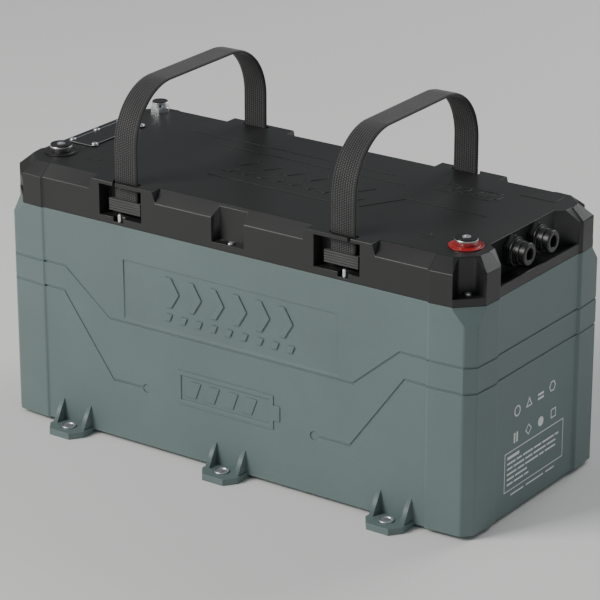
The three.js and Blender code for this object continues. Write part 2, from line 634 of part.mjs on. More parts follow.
// The arch of a handle in [y, z] points: the outer or the inner face of the webbing, from the
// front leg over the top to the back leg.
function archPath(inset) {
  const half = WEBBING_Y + WEBBING.thickness / 2 - inset;
  const top = HANDLE_TOP_Z - inset;
  const radius = HANDLE_BEND - inset;
  const arc = (centreY, from) => Array.from({ length: BEND_STEPS + 1 }, (_, i) => {
    const angle = from - (Math.PI / 2) * (i / BEND_STEPS);
    return [centreY + radius * Math.cos(angle), top - radius + radius * Math.sin(angle)];
  });
  return [
    [-half, HANDLE_PIVOT_Z], ...arc(-half + radius, Math.PI),
    ...arc(half - radius, Math.PI / 2), [half, HANDLE_PIVOT_Z],
  ];
}

// A webbing loop, turned to run between its two slots. Each leg ends in a half disc centred on
// the pivot line.
function makeHandleLoop() {
  const section = [...archPath(0), ...archPath(WEBBING.thickness).reverse()];
  const half = WEBBING.width / 2;
  const loop = prismX(section, -half, half);
  const discs = SIGNS.map((side) => {
    const shape = new THREE.Shape();
    shape.absarc(0, 0, LEG_END_RADIUS, Math.PI / 2, (3 * Math.PI) / 2, false);
    const geometry = new THREE.ExtrudeGeometry(shape, {
      depth: WEBBING.thickness, bevelEnabled: false, curveSegments: 2 * BEND_STEPS,
    });
    const low = side * WEBBING_Y - WEBBING.thickness / 2;
    return moved(solid(geometry.applyMatrix4(ALONG_Y)), 0, low, HANDLE_PIVOT_Z);
  });
  const turn = Math.atan(STRAP_SLOT.skew / WEBBING_Y);
  return solid(geometryOf(join(loop, ...discs)).rotateZ(turn));
}

// A ribbed bar that holds a strap end in its window, with the sewn strap end behind it.
function makeStrapAnchor(side) {
  const { skew, half, low, high, front, thickness } = ANCHOR;
  const { count, depth, edge, gap } = ANCHOR_RIBS;
  const pitch = (high - low) / count;
  const profile = [];
  for (let i = 0; i < count; i += 1) {
    const [foot, top] = [low + i * pitch, low + (i + 1) * pitch];
    profile.push([front - depth, foot], [front, foot + edge * pitch]);
    profile.push([front, top - edge * pitch], [front - depth, top - gap]);
  }
  profile.push([front - thickness, high - gap], [front - thickness, low]);
  const barX = -side * skew;
  const slotX = -side * STRAP_SLOT.skew;
  const bar = prismX(profile.map(([y, z]) => [side * y, z]), barX - half, barX + half);
  const strapY = [WEBBING_Y - WEBBING.thickness / 2, WEBBING_Y + WEBBING.thickness / 2 - FIT_GAP];
  const strap = box([slotX - WEBBING.width / 2, slotX + WEBBING.width / 2],
    strapY.map((y) => side * y).sort((a, b) => a - b), [STRAP_END.low, STRAP_END.high]);
  return join(bar, strap);
}

// ---- Inside --------------------------------------------------------------------------------

function makeCell() {
  const { thickness, width, low, lid, high, stud } = CELL;
  const can = box([-thickness / 2, thickness / 2], [-width / 2, width / 2], [low, lid]);
  const post = cylinder(stud, lid - OVERSHOOT, high, SMALL_SIDES);
  return join(can, ...SIGNS.map((sign) => moved(post, 0, sign * width / 3)));
}

const PACK_HALF = (CELL.count * CELL.thickness + (CELL.count - 1) * CELL.gap) / 2;

function makeEndPlate() {
  return box([0, END_PLATE.thickness], [-CELL.width / 2, CELL.width / 2], [CELL.low, END_PLATE.top]);
}

function makeLinkBoard() {
  const { x, y, low, high } = LINK_BOARD;
  return box([-x, x], [-y, y], [low, high]);
}

function makeBms() {
  const { x, y, low, high } = BMS;
  const { count, start, pitch, thickness, height, margin } = FINS;
  const fins = Array.from({ length: count }, (_, i) => {
    const foot = x[0] + start + i * pitch;
    return box([foot, foot + thickness], [margin - y, y - margin], [high - OVERSHOOT, high + height]);
  });
  return join(box(x, [-y, y], [low, high]), ...fins);
}

// A flat busbar that rises from the electronics or the cells to the foot of a terminal post.
function makeBusbar([postX, postY], startX, startZ) {
  const { width, thickness, rise, tongue } = BUSBAR;
  const topZ = POST.footZ - FIT_GAP;
  const toward = Math.sign(postX - startX);
  const bend = postX - toward * rise;
  const end = postX + toward * tongue;
  const profile = [
    [startX, startZ], [bend, startZ], [bend, topZ - thickness], [end, topZ - thickness],
    [end, topZ], [bend - toward * thickness, topZ],
    [bend - toward * thickness, startZ + thickness], [startX, startZ + thickness],
  ];
  return prismY(profile.map(([x, z]) => [z, x]), postY - width / 2, postY + width / 2);
}

// ---- Assembly ------------------------------------------------------------------------------

const battery = new THREE.Group();

function add(name, body, finish, [x, y, z] = [0, 0, 0]) {
  const mesh = new THREE.Mesh(geometryOf(body), finish);
  mesh.name = name;
  mesh.position.set(x, y, z);
  battery.add(mesh);
}

add('case', makeCase(), casePlastic);
add('lid', makeLid(), lidPlastic);
add('lid_gasket', makeGasket(), gasketRubber);

const bushing = makeBushing();
FEET_X.forEach((x, i) => {
  add(`foot_bushing_front_${i + 1}`, bushing, steel, [x, -FOOT.holeY, 0]);
  add(`foot_bushing_rear_${i + 1}`, bushing, steel, [x, FOOT.holeY, 0]);
});

const lidScrew = makeScrew(LID_SCREW);
const notchScrew = makeScrew(NOTCH_SCREW);
lidScrews.forEach(([x, y, z], i) => (
  add(`lid_screw_${i + 1}`, z === NOTCH.low ? notchScrew : lidScrew, steel, [x, y, z + FACE_GAP])));

for (const [pole, [x, y], ringFinish] of [
  ['negative', NEGATIVE, blackPlastic], ['positive', POSITIVE, redPlastic]]) {
  add(`${pole}_terminal_post`, makePost(), steel, [x, y, 0]);
  add(`${pole}_terminal_ring`, makeTerminalRing(), ringFinish, [x, y, 0]);
  add(`${pole}_terminal_cap`, makeTerminalCap(), blackPlastic, [x, y, 0]);
  add(`${pole}_terminal_bolt`, makeTerminalBolt(), steel, [x, y, 0]);
}

add('service_cover', makeServiceCover(), lidPlastic);
const serviceScrew = makeScrew(SERVICE_SCREW);
SERVICE.screwX.forEach((x, column) => SERVICE_SCREWS_Y.forEach((y, row) => {
  const name = `service_screw_${column * SERVICE_SCREWS_Y.length + row + 1}`;
  add(name, serviceScrew, steel, [x, y, LID_TOP_Z + SERVICE.thickness + 2 * FACE_GAP]);
}));

add('vent_body', makeVentBody(), steel);
add('vent_cap', makeVentCap(), blackPlastic);

SIGNS.forEach((sign, i) => {
  const y = sign * CONNECTOR.y;
  add(`connector_body_${i + 1}`, makeConnectorBody(), blackPlastic, [CONNECTOR_SEAT.x, y, CONNECTOR.z]);
  add(`connector_nut_${i + 1}`, makeConnectorNut(), blackPlastic, [CONNECTOR.nutX[0], y, CONNECTOR.z]);
});

const loop = makeHandleLoop();
const anchors = SIGNS.map((side) => [side < 0 ? 'front' : 'rear', makeStrapAnchor(side)]);
for (const [hand, sx] of [['left', -1], ['right', 1]]) {
  const x = windowX(sx);
  add(`handle_webbing_${hand}`, loop, webbingNylon, [x, 0, 0]);
  anchors.forEach(([end, anchor]) => add(`strap_anchor_${hand}_${end}`, anchor, webbingNylon, [x, 0, 0]));
}

const cell = makeCell();
for (let i = 0; i < CELL.count; i += 1) {
  const x = -PACK_HALF + CELL.thickness / 2 + i * (CELL.thickness + CELL.gap);
  add(`cell_${i + 1}`, cell, aluminium, [x, 0, 0]);
}
add('pack_end_plate_left', makeEndPlate(), aluminium, [-PACK_HALF - END_PLATE.thickness - FIT_GAP, 0, 0]);
add('pack_end_plate_right', makeEndPlate(), aluminium, [PACK_HALF + FIT_GAP, 0, 0]);
add('cell_link_board', makeLinkBoard(), boardGreen);
add('battery_management_unit', makeBms(), aluminium);
add('negative_busbar', makeBusbar(NEGATIVE, BUSBAR.start[0], BMS.low), copper);
add('positive_busbar', makeBusbar(POSITIVE, BUSBAR.start[1], LINK_BOARD.high + FIT_GAP), copper);

export default battery;
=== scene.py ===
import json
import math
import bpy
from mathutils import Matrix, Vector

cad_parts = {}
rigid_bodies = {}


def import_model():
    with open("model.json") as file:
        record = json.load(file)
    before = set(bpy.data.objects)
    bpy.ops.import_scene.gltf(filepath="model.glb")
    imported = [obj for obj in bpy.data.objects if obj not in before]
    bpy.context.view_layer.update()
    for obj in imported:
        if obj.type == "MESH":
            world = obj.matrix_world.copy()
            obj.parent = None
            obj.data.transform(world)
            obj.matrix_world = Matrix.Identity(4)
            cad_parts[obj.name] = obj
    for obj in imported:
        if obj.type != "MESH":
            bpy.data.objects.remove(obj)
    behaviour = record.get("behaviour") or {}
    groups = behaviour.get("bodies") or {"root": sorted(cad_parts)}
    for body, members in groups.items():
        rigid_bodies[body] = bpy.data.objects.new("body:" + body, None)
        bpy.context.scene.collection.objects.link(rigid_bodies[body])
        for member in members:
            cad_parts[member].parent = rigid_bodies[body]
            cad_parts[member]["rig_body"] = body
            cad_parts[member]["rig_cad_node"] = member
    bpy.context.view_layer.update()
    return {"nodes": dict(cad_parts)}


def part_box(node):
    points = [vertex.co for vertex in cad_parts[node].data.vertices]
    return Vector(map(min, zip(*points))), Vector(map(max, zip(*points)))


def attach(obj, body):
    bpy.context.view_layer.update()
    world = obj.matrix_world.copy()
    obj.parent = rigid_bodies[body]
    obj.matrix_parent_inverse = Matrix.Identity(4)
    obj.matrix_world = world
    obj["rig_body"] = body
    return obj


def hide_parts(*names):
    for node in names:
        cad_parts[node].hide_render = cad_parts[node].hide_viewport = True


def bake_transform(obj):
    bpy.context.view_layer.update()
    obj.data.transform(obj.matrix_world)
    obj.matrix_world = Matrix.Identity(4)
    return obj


bl_info = {
    "name": "Deep cycle battery",
    "version": (1, 0, 0),
    "blender": (4, 5, 0),
    "location": "3D View > Sidebar > Battery",
    "description": "Finishes the case, lid, fittings and webbing handles of a leisure battery",
    "category": "Object",
}

import bmesh
import bpy
from bpy.props import FloatProperty, FloatVectorProperty, IntProperty, PointerProperty
from mathutils import Matrix, Vector
from mathutils.geometry import intersect_point_line

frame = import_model()

MM = 0.001
SIDES = (-1, 1)
HANDS = ("left", "right")
ENDS = {"front": -1, "rear": 1}
BODY = "battery_body"

# Places that several pieces share, all taken from the frame
LID_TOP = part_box("lid")[1].z
HANDLE_MIDDLES = {hand: sum(corner.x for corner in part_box(f"handle_webbing_{hand}")) / 2
                  for hand in HANDS}
FACE_Y = 110.5 * MM  # plane of the long faces
END_X = 256 * MM  # plane of the end faces
POCKET_X, POCKET_Y = 236 * MM, 86 * MM  # beyond both of these lies a corner pocket


def linear(hex_colour):
    """Turns an sRGB hex colour into linear red, green, blue and alpha."""
    channels = [int(hex_colour[i:i + 2], 16) / 255 for i in (1, 3, 5)]
    bent = [c / 12.92 if c <= 0.04045 else ((c + 0.055) / 1.055) ** 2.4 for c in channels]
    return (*bent, 1.0)


# ---- What a user would change --------------------------------------------------------------


def length_of(name, description, default_mm):
    return FloatProperty(name=name, description=description, default=default_mm * MM, min=0.0,
                         subtype="DISTANCE", unit="LENGTH", precision=5)


def colour_of(name, description, hex_colour):
    return FloatVectorProperty(name=name, description=description, default=linear(hex_colour),
                               size=4, min=0.0, max=1.0, subtype="COLOR")


class BatterySizes(bpy.types.PropertyGroup):
    corner_radius: length_of("Corner radius", "Rounding of the big outer edges of case and lid", 1.6)
    edge_radius: length_of("Edge radius", "Rounding of the small moulded edges", 0.45)
    emblem_height: length_of("Emblem height", "How far the front motifs stand off the case", 1.4)
    webbing_width: length_of("Webbing width", "Width of the handle webbing", 25.4)
    webbing_thickness: length_of("Webbing thickness", "Thickness of the webbing", 2.8)
    rib_across: length_of("Weave pitch across", "Distance between warp ribs", 2.3)
    rib_along: length_of("Weave pitch along", "Distance between weft rows", 2.3)
    rib_depth: length_of("Weave depth", "Height of the woven ribs", 0.42)
    turned_steps: IntProperty(name="Turned steps", description="Facets round a turned piece",
                              default=64, min=12, max=128)


class BatteryColours(bpy.types.PropertyGroup):
    case: colour_of("Case", "Grey-green moulded case", "#677877")
    lid: colour_of("Lid", "Near-black moulded lid", "#212221")
    black: colour_of("Black plastic", "Connectors, caps and rings", "#1d1e1e")
    red: colour_of("Red plastic", "Ring round the positive terminal", "#b51d1f")
    webbing: colour_of("Webbing", "Woven handle", "#393939")
    print: colour_of("Print", "White ink on the end face", "#e4e7e6")
    steel: colour_of("Steel", "Plated screws, bushings and vent", "#e4e6e8")
    floor: colour_of("Floor", "Studio floor", "#f0f0ee")


# ---- Working with pieces -------------------------------------------------------------------


def deselect():
    if bpy.context.object and bpy.context.object.mode != "OBJECT":
        bpy.ops.object.mode_set(mode="OBJECT")
    bpy.ops.object.select_all(action="DESELECT")


def choose(*chosen):
    """Makes these the only selected objects, the last one active."""
    deselect()
    for piece in chosen:
        piece.select_set(True)
    bpy.context.view_layer.objects.active = chosen[-1]


def settle(piece):
    """Puts a piece's place, turn and scale into its mesh."""
    choose(piece)
    bpy.ops.object.transform_apply(location=True, rotation=True, scale=True)
    return piece


def shape_with(piece, kind, **settings):
    """Adds one modifier and applies it."""
    choose(piece)
    bpy.ops.object.modifier_add(type=kind)
    step = piece.modifiers[-1]
    for key, value in settings.items():
        setattr(step, key, value)
    bpy.ops.object.modifier_apply(modifier=step.name)


def edit(piece, kind="FACE"):
    """Enters edit mode with everything selected."""
    choose(piece)
    bpy.ops.object.mode_set(mode="EDIT")
    bpy.ops.mesh.select_mode(type=kind)
    bpy.ops.mesh.select_all(action="SELECT")


def leave_edit():
    bpy.ops.object.mode_set(mode="OBJECT")


def pick(piece, test, kind="FACE"):
    """In edit mode, selects only the faces, edges or vertices whose middle passes a test."""
    bpy.ops.mesh.select_mode(type=kind)
    bpy.ops.mesh.select_all(action="DESELECT")
    mesh = bmesh.from_edit_mesh(piece.data)
    elements = {"FACE": mesh.faces, "EDGE": mesh.edges, "VERT": mesh.verts}[kind]
    for element in elements:
        if kind == "VERT":
            middle = element.co
        else:
            middle = sum((v.co for v in element.verts), Vector()) / len(element.verts)
        if test(middle):
            element.select_set(True)
    mesh.select_flush_mode()
    bmesh.update_edit_mesh(piece.data)


def mend(piece, distance=0.002 * MM):
    """Closes seams and points all faces outwards."""
    edit(piece)
    bpy.ops.mesh.remove_doubles(threshold=distance)
    bpy.ops.mesh.select_all(action="SELECT")
    bpy.ops.mesh.normals_make_consistent(inside=False)
    leave_edit()


def new_piece(name):
    """Names the primitive that was just added."""
    piece = bpy.context.object
    piece.name = name
    piece.data.name = name
    return piece


def block(name, low, high):
    """A block between two corners."""
    deselect()
    middle = (Vector(low) + Vector(high)) / 2
    bpy.ops.mesh.primitive_cube_add(size=1, location=middle)
    piece = new_piece(name)
    piece.scale = Vector(high) - Vector(low)
    return settle(piece)


def slab(name, outline, low, high, axis="Z"):
    """A plate with an outline of (u, v) points, raised between two heights along an axis."""
    deselect()
    bpy.ops.mesh.primitive_circle_add(vertices=len(outline), fill_type="NGON")
    piece = new_piece(name)
    turns = {"Z": lambda u, v, w: (u, v, w), "X": lambda u, v, w: (w, u, v),
             "Y": lambda u, v, w: (u, w, v)}
    place = turns[axis]
    for vertex, (u, v) in zip(piece.data.vertices, outline):
        vertex.co = place(u, v, low)
    edit(piece)
    bpy.ops.mesh.extrude_region_move(
        TRANSFORM_OT_translate={"value": place(0, 0, high - low)})
    bpy.ops.mesh.select_all(action="SELECT")
    bpy.ops.mesh.normals_make_consistent(inside=False)
    leave_edit()
    return piece


def turned(name, profile, centre, steps, axis="Z"):
    """A piece spun from (radius, height) points, which start and end on the axis or make a ring."""
    deselect()
    ring = profile[0] == profile[-1]
    points = profile[:-1] if ring else profile
    bpy.ops.mesh.primitive_circle_add(vertices=len(points), fill_type="NOTHING")
    piece = new_piece(name)
    for vertex, (radius, height) in zip(piece.data.vertices, points):
        vertex.co = (radius, 0, height)
    if not ring:
        edit(piece, "EDGE")
        last = len(points) - 1
        pick(piece, lambda middle: False, "EDGE")
        mesh = bmesh.from_edit_mesh(piece.data)
        mesh.verts.ensure_lookup_table()
        for edge in mesh.verts[0].link_edges:
            edge.select_set(edge.other_vert(mesh.verts[0]).index == last)
        bmesh.update_edit_mesh(piece.data)
        bpy.ops.mesh.delete(type="EDGE")
        leave_edit()
    edit(piece, "VERT")
    bpy.ops.mesh.spin(steps=steps, angle=math.tau, center=(0, 0, 0), axis=(0, 0, 1))
    leave_edit()
    mend(piece, 0.01 * MM)
    if axis == "X":
        piece.rotation_euler = (0, math.pi / 2, 0)
    piece.location = centre
    return settle(piece)


def carve(piece, cutter, operation="DIFFERENCE"):
    """Cuts a piece with another, or joins them, and removes the other."""
    shape_with(piece, "BOOLEAN", object=cutter, operation=operation, solver="EXACT")
    bpy.data.objects.remove(cutter)
    return piece


def make_whole(piece, angle=1.0):
    """Merges loose points and makes each flat face one face again."""
    edit(piece)
    bpy.ops.mesh.remove_doubles(threshold=0.004 * MM)
    bpy.ops.mesh.select_all(action="SELECT")
    bpy.ops.mesh.dissolve_limited(angle_limit=math.radians(angle))
    leave_edit()


def gap_to(point, start, end):
    """Distance from a point to the stretch between two others."""
    share = intersect_point_line(point, start, end)[1]
    return (point - start.lerp(end, min(1.0, max(0.0, share)))).length


def room_across(edge):
    """Shortest way over an edge's faces to an edge that it doesn't touch."""
    a, b = (v.co for v in edge.verts)
    gaps = [1.0]
    for face in edge.link_faces:
        for other in face.edges:
            if set(other.verts) & set(edge.verts):
                continue
            c, d = (v.co for v in other.verts)
            gaps += [gap_to(a, c, d), gap_to(b, c, d), gap_to(c, a, b), gap_to(d, a, b)]
    return min(gaps)


ROOM_SHARE = 0.42  # how much of the free face beside an edge its rounding may take


def round_edges(piece, radius_of, segments=3, sharpest=14):
    """Rounds each edge by its own radius, held back where other edges are close."""
    mesh = bmesh.new()
    mesh.from_mesh(piece.data)
    weight = mesh.edges.layers.float.get("bevel_weight_edge")
    if weight is None:
        weight = mesh.edges.layers.float.new("bevel_weight_edge")
    radii = {}
    for edge in mesh.edges:
        if not edge.is_convex or edge.calc_face_angle(0) < math.radians(sharpest):
            continue
        beside = [other.calc_length() for v in edge.verts for other in v.link_edges
                  if other is not edge]
        middle = (edge.verts[0].co + edge.verts[1].co) / 2
        room = min(*beside, room_across(edge))
        radii[edge] = min(radius_of(middle, edge), ROOM_SHARE * room)
    widest = max(radii.values())
    for edge, radius in radii.items():
        edge[weight] = radius / widest
    mesh.to_mesh(piece.data)
    mesh.free()
    shape_with(piece, "BEVEL", limit_method="WEIGHT", width=widest, segments=segments,
               use_clamp_overlap=False)


def shade(piece, angle=42.0, weighted=True):
    choose(piece)
    bpy.ops.object.shade_smooth_by_angle(angle=math.radians(angle))
    if weighted:
        shape_with(piece, "WEIGHTED_NORMAL", keep_sharp=True)


def copy_of(node, name):
    """A whole, merged copy of a CAD node's mesh, free of the frame."""
    choose(frame["nodes"][node])
    bpy.ops.object.duplicate()
    piece = new_piece(name)
    bpy.ops.object.parent_clear(type="CLEAR_KEEP_TRANSFORM")
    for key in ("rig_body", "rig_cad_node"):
        del piece[key]
    piece.data.materials.clear()
    make_whole(piece)
    return piece


def copied(piece, name, shift):
    """A copy with its own mesh, moved by a shift."""
    choose(piece)
    bpy.ops.object.duplicate()
    twin = new_piece(name)
    twin.location = shift
    return settle(twin)


def finish_piece(piece, body, material, slot, *nodes):
    """Gives a piece its material and its body, and hides the CAD nodes that it stands for."""
    piece.data.materials.clear()
    piece.data.materials.append(material)
    if nodes:
        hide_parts(*nodes)
    if body:
        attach(piece, body)
    return piece


def joined(name, parts):
    choose(*parts)
    bpy.ops.object.join()
    return new_piece(name)


# ---- Materials -----------------------------------------------------------------------------


def add_node(tree, kind, settings=None, links=None):
    """Adds a node, sets its values or sockets, and links sockets to other nodes' outputs."""
    node = tree.nodes.new(kind)
    for key, value in (settings or {}).items():
        if key in node.inputs:
            node.inputs[key].default_value = value
        else:
            setattr(node, key, value)
    for key, output in (links or {}).items():
        tree.links.new(output, node.inputs[key])
    return node


def start_material(name, **settings):
    """A material with one Principled shader; returns it with its tree, shader and coordinates."""
    material = bpy.data.materials.get(name)
    if material:
        return material, None, None, None
    material = bpy.data.materials.new(name)
    material.use_nodes = True
    tree = material.node_tree
    shader = tree.nodes["Principled BSDF"]
    for key, value in settings.items():
        shader.inputs[key.replace("_", " ")].default_value = value
    coordinates = add_node(tree, "ShaderNodeTexCoord").outputs["Object"]
    return material, tree, shader, coordinates


def shaded(colour, factor):
    """The same colour, lighter or darker."""
    return (*(min(1.0, channel * factor) for channel in colour[:3]), 1.0)


def moulded_plastic(name, colour, roughness, grain_mm, grain_depth_mm, coat=0.0):
    """Injection-moulded ABS from a spark-eroded tool: a fine grain breaks up the gloss, and the
    colour drifts a little where the plastic flowed."""
    material, tree, shader, place = start_material(
        name, IOR=1.53, Coat_Weight=coat, Coat_Roughness=0.35)
    if tree is None:
        return material
    drift = add_node(tree, "ShaderNodeTexNoise", {"Scale": 9.0, "Detail": 3.0, "Roughness": 0.6},
                     {"Vector": place})
    grain = add_node(tree, "ShaderNodeTexNoise",
                     {"Scale": 1 / (grain_mm * MM), "Detail": 2.0, "Roughness": 0.55},
                     {"Vector": place})
    tone = add_node(tree, "ShaderNodeValToRGB", None, {"Fac": drift.outputs["Fac"]})
    tone.color_ramp.elements[0].position = 0.32
    tone.color_ramp.elements[0].color = shaded(colour, 0.93)
    tone.color_ramp.elements[1].position = 0.7
    tone.color_ramp.elements[1].color = shaded(colour, 1.05)
    fleck = add_node(tree, "ShaderNodeMapRange",
                     {"From Min": 0.3, "From Max": 0.7, "To Min": 0.94, "To Max": 1.05},
                     {"Value": grain.outputs["Fac"]})
    mixed = add_node(tree, "ShaderNodeVectorMath", {"operation": "SCALE"},
                     {0: tone.outputs["Color"], "Scale": fleck.outputs["Result"]})
    gloss = add_node(tree, "ShaderNodeMapRange",
                     {"From Min": 0.3, "From Max": 0.7,
                      "To Min": roughness - 0.05, "To Max": roughness + 0.07},
                     {"Value": drift.outputs["Fac"]})
    relief = add_node(tree, "ShaderNodeBump", {"Strength": 0.5, "Distance": grain_depth_mm * MM},
                      {"Height": grain.outputs["Fac"]})
    tree.links.new(mixed.outputs["Vector"], shader.inputs["Base Color"])
    tree.links.new(gloss.outputs["Result"], shader.inputs["Roughness"])
    tree.links.new(relief.outputs["Normal"], shader.inputs["Normal"])
    return material


def plated_metal(name, colour, roughness, scratch_mm=0.35):
    """Bright zinc or nickel plating on turned steel: fine scratches and a faint cloudiness."""
    material, tree, shader, place = start_material(name, Metallic=1.0)
    if tree is None:
        return material
    cloud = add_node(tree, "ShaderNodeTexNoise", {"Scale": 160.0, "Detail": 4.0}, {"Vector": place})
    scratch = add_node(tree, "ShaderNodeTexNoise",
                       {"Scale": 1 / (scratch_mm * MM), "Detail": 3.0, "Distortion": 0.6},
                       {"Vector": place})
    tone = add_node(tree, "ShaderNodeValToRGB", None, {"Fac": cloud.outputs["Fac"]})
    tone.color_ramp.elements[0].color = shaded(colour, 0.94)
    tone.color_ramp.elements[1].color = shaded(colour, 1.03)
    gloss = add_node(tree, "ShaderNodeMapRange",
                     {"From Min": 0.3, "From Max": 0.7,
                      "To Min": roughness - 0.02, "To Max": roughness + 0.06},
                     {"Value": scratch.outputs["Fac"]})
    relief = add_node(tree, "ShaderNodeBump", {"Strength": 0.12, "Distance": 0.01 * MM},
                      {"Height": scratch.outputs["Fac"]})
    tree.links.new(tone.outputs["Color"], shader.inputs["Base Color"])
    tree.links.new(gloss.outputs["Result"], shader.inputs["Roughness"])
    tree.links.new(relief.outputs["Normal"], shader.inputs["Normal"])
    return material


def woven_webbing(name, colour):
    """Polypropylene webbing: the base colour is painted lighter on the raised yarns (painted highlight)
    and much darker in the gaps between them (painted shade), and the yarn has a dull sheen. The ribs
    themselves are in the mesh."""
    material, tree, shader, place = start_material(
        name, Sheen_Weight=0.25, Sheen_Roughness=0.45, IOR=1.49)
    if tree is None:
        return material
    height = add_node(tree, "ShaderNodeAttribute", {"attribute_name": "rib_height"})
    fibre = add_node(tree, "ShaderNodeTexNoise", {"Scale": 4200.0, "Detail": 2.0},
                     {"Vector": place})
    wear = add_node(tree, "ShaderNodeTexNoise", {"Scale": 60.0, "Detail": 4.0}, {"Vector": place})
    # Painted light: rib_height sets the colour, a painted highlight on the rib crests and painted shade
    # in the gaps between ribs
    tone = add_node(tree, "ShaderNodeValToRGB", None, {"Fac": height.outputs["Fac"]})
    tone.color_ramp.elements[0].color = shaded(colour, 0.2)
    tone.color_ramp.elements[1].color = shaded(colour, 1.75)
    tone.color_ramp.elements.new(0.45).color = shaded(colour, 0.8)
    fade = add_node(tree, "ShaderNodeMapRange",
                    {"From Min": 0.3, "From Max": 0.7, "To Min": 0.86, "To Max": 1.14},
                    {"Value": wear.outputs["Fac"]})
    mixed = add_node(tree, "ShaderNodeVectorMath", {"operation": "SCALE"},
                     {0: tone.outputs["Color"], "Scale": fade.outputs["Result"]})
    gloss = add_node(tree, "ShaderNodeMapRange", {"To Min": 0.92, "To Max": 0.62},
                     {"Value": height.outputs["Fac"]})
    relief = add_node(tree, "ShaderNodeBump", {"Strength": 0.6, "Distance": 0.08 * MM},
                      {"Height": fibre.outputs["Fac"]})
    tree.links.new(mixed.outputs["Vector"], shader.inputs["Base Color"])
    tree.links.new(gloss.outputs["Result"], shader.inputs["Roughness"])
    tree.links.new(relief.outputs["Normal"], shader.inputs["Normal"])
    return material


def colours():
    return bpy.context.scene.battery_colours


def sizes():
    return bpy.context.scene.battery_sizes


def case_plastic():
    return moulded_plastic("moulded_abs_grey_green", colours().case, 0.5, 0.9, 0.05)


def lid_plastic():
    return moulded_plastic("moulded_abs_near_black", colours().lid, 0.42, 0.8, 0.04)


def black_plastic():
    return moulded_plastic("glass_filled_nylon_black", colours().black, 0.38, 0.5, 0.02)


def red_plastic():
    return moulded_plastic("polished_abs_red", colours().red, 0.3, 0.6, 0.01, coat=0.3)


def white_ink():
    """Pad-printed white ink: dense, matt and a little uneven at the edge of each shape."""
    return moulded_plastic("pad_printed_white_ink", colours().print, 0.6, 0.5, 0.01)


def gasket_rubber():
    return moulded_plastic("foamed_rubber", linear("#1b1b1b"), 0.8, 0.5, 0.1)


def green_board():
    return moulded_plastic("lacquered_circuit_board", linear("#1f4d36"), 0.35, 1.2, 0.02)


def polypropylene_webbing():
    return woven_webbing("woven_polypropylene_webbing", colours().webbing)


def drawn_aluminium():
    return plated_metal("drawn_satin_aluminium", linear("#b9bcbe"), 0.34, 0.8)


def bare_copper():
    return plated_metal("rolled_bare_copper", linear("#b87345"), 0.3, 0.8)


def steel():
    return plated_metal("bright_plated_steel", colours().steel, 0.36)


def tinned_metal():
    return plated_metal("tin_plated_brass", linear("#dededc"), 0.32, 0.6)


# ---- Case ----------------------------------------------------------------------------------


def outer_edge(middle, edge):
    """Whether an edge is one of the big upright or level edges of the body."""
    return edge.calc_length() > 20 * MM and (
        abs(middle.y) > 109 * MM or abs(middle.x) > 244 * MM)


class BATTERY_OT_case(bpy.types.Operator):
    """Makes the moulded case with its grooves, recessed frames and feet"""
    bl_idname = "battery.case"
    bl_label = "Case"

    def execute(self, context):
        case = copy_of("case", "moulded_case")
        for side in SIDES:
            # the lower edge of the recessed frame runs out in a long slope
            wedge = [(side * (FACE_Y - 1 * MM), 127.2 * MM), (side * (FACE_Y + 1 * MM), 127.2 * MM),
                     (side * (FACE_Y + 1 * MM), 120.3 * MM), (side * (FACE_Y - 1 * MM), 126.9 * MM)]
            carve(case, slab("wedge", wedge, -119 * MM, 119 * MM, "X"))
        make_whole(case)
        wide, fine = sizes().corner_radius, sizes().edge_radius

        def radius_of(middle, edge):
            upright = abs((edge.verts[0].co - edge.verts[1].co).normalized().z) > 0.9
            if upright and edge.calc_length() > 30 * MM and abs(middle.x) > 205 * MM:
                return wide
            return fine

        round_edges(case, radius_of)
        shade(case)
        finish_piece(case, BODY, case_plastic(), "case_plastic", "case")
        return {"FINISHED"}


class BATTERY_OT_lid(bpy.types.Operator):
    """Makes the moulded lid with its chamfer, strap windows and pockets"""
    bl_idname = "battery.lid"
    bl_label = "Lid"

    def execute(self, context):
        lid = copy_of("lid", "moulded_lid")
        wide, fine = sizes().corner_radius, sizes().edge_radius

        def radius_of(middle, edge):
            if edge.calc_length() > 18 * MM and middle.z > 240 * MM and outer_edge(middle, edge):
                return 0.6 * wide
            if abs(middle.x) > POCKET_X and abs(middle.y) > POCKET_Y:
                return 0.25 * fine  # the faces round the corner pockets are narrow
            return fine

        round_edges(lid, radius_of)
        shade(lid)
        finish_piece(lid, BODY, lid_plastic(), "lid_plastic", "lid")
        return {"FINISHED"}


def soften(piece, radius, segments=2):
    """Rounds every sharp edge of a small piece alike and shades it."""
    shape_with(piece, "BEVEL", limit_method="ANGLE", angle_limit=math.radians(30), width=radius,
               segments=segments)
    shade(piece)
    return piece


# ---- Motifs --------------------------------------------------------------------------------

CHEVRON = [(0, 0), (7, 0), (16, 14.5), (7, 29), (0, 29), (9, 14.5)]
DASH = [(0, 0), (7, 0), (10, 7), (3, 7)]


def placed(outline, u, v, scale=1.0, flip=1):
    """An outline in millimetres, moved and scaled, as metres."""
    points = [((u + x * scale) * flip * MM, (v + y * scale) * MM) for x, y in outline]
    return points if flip > 0 else points[::-1]


def rectangle(u0, u1, v0, v1):
    return [(u0, v0), (u1, v0), (u1, v1), (u0, v1)]


def ring_slab(name, outer, inner, low, high, axis):
    """A plate with a window in it."""
    reach = 1 * MM
    plate = slab(name, outer, low, high, axis)
    return carve(plate, slab("window", inner, low - reach, high + reach, axis))


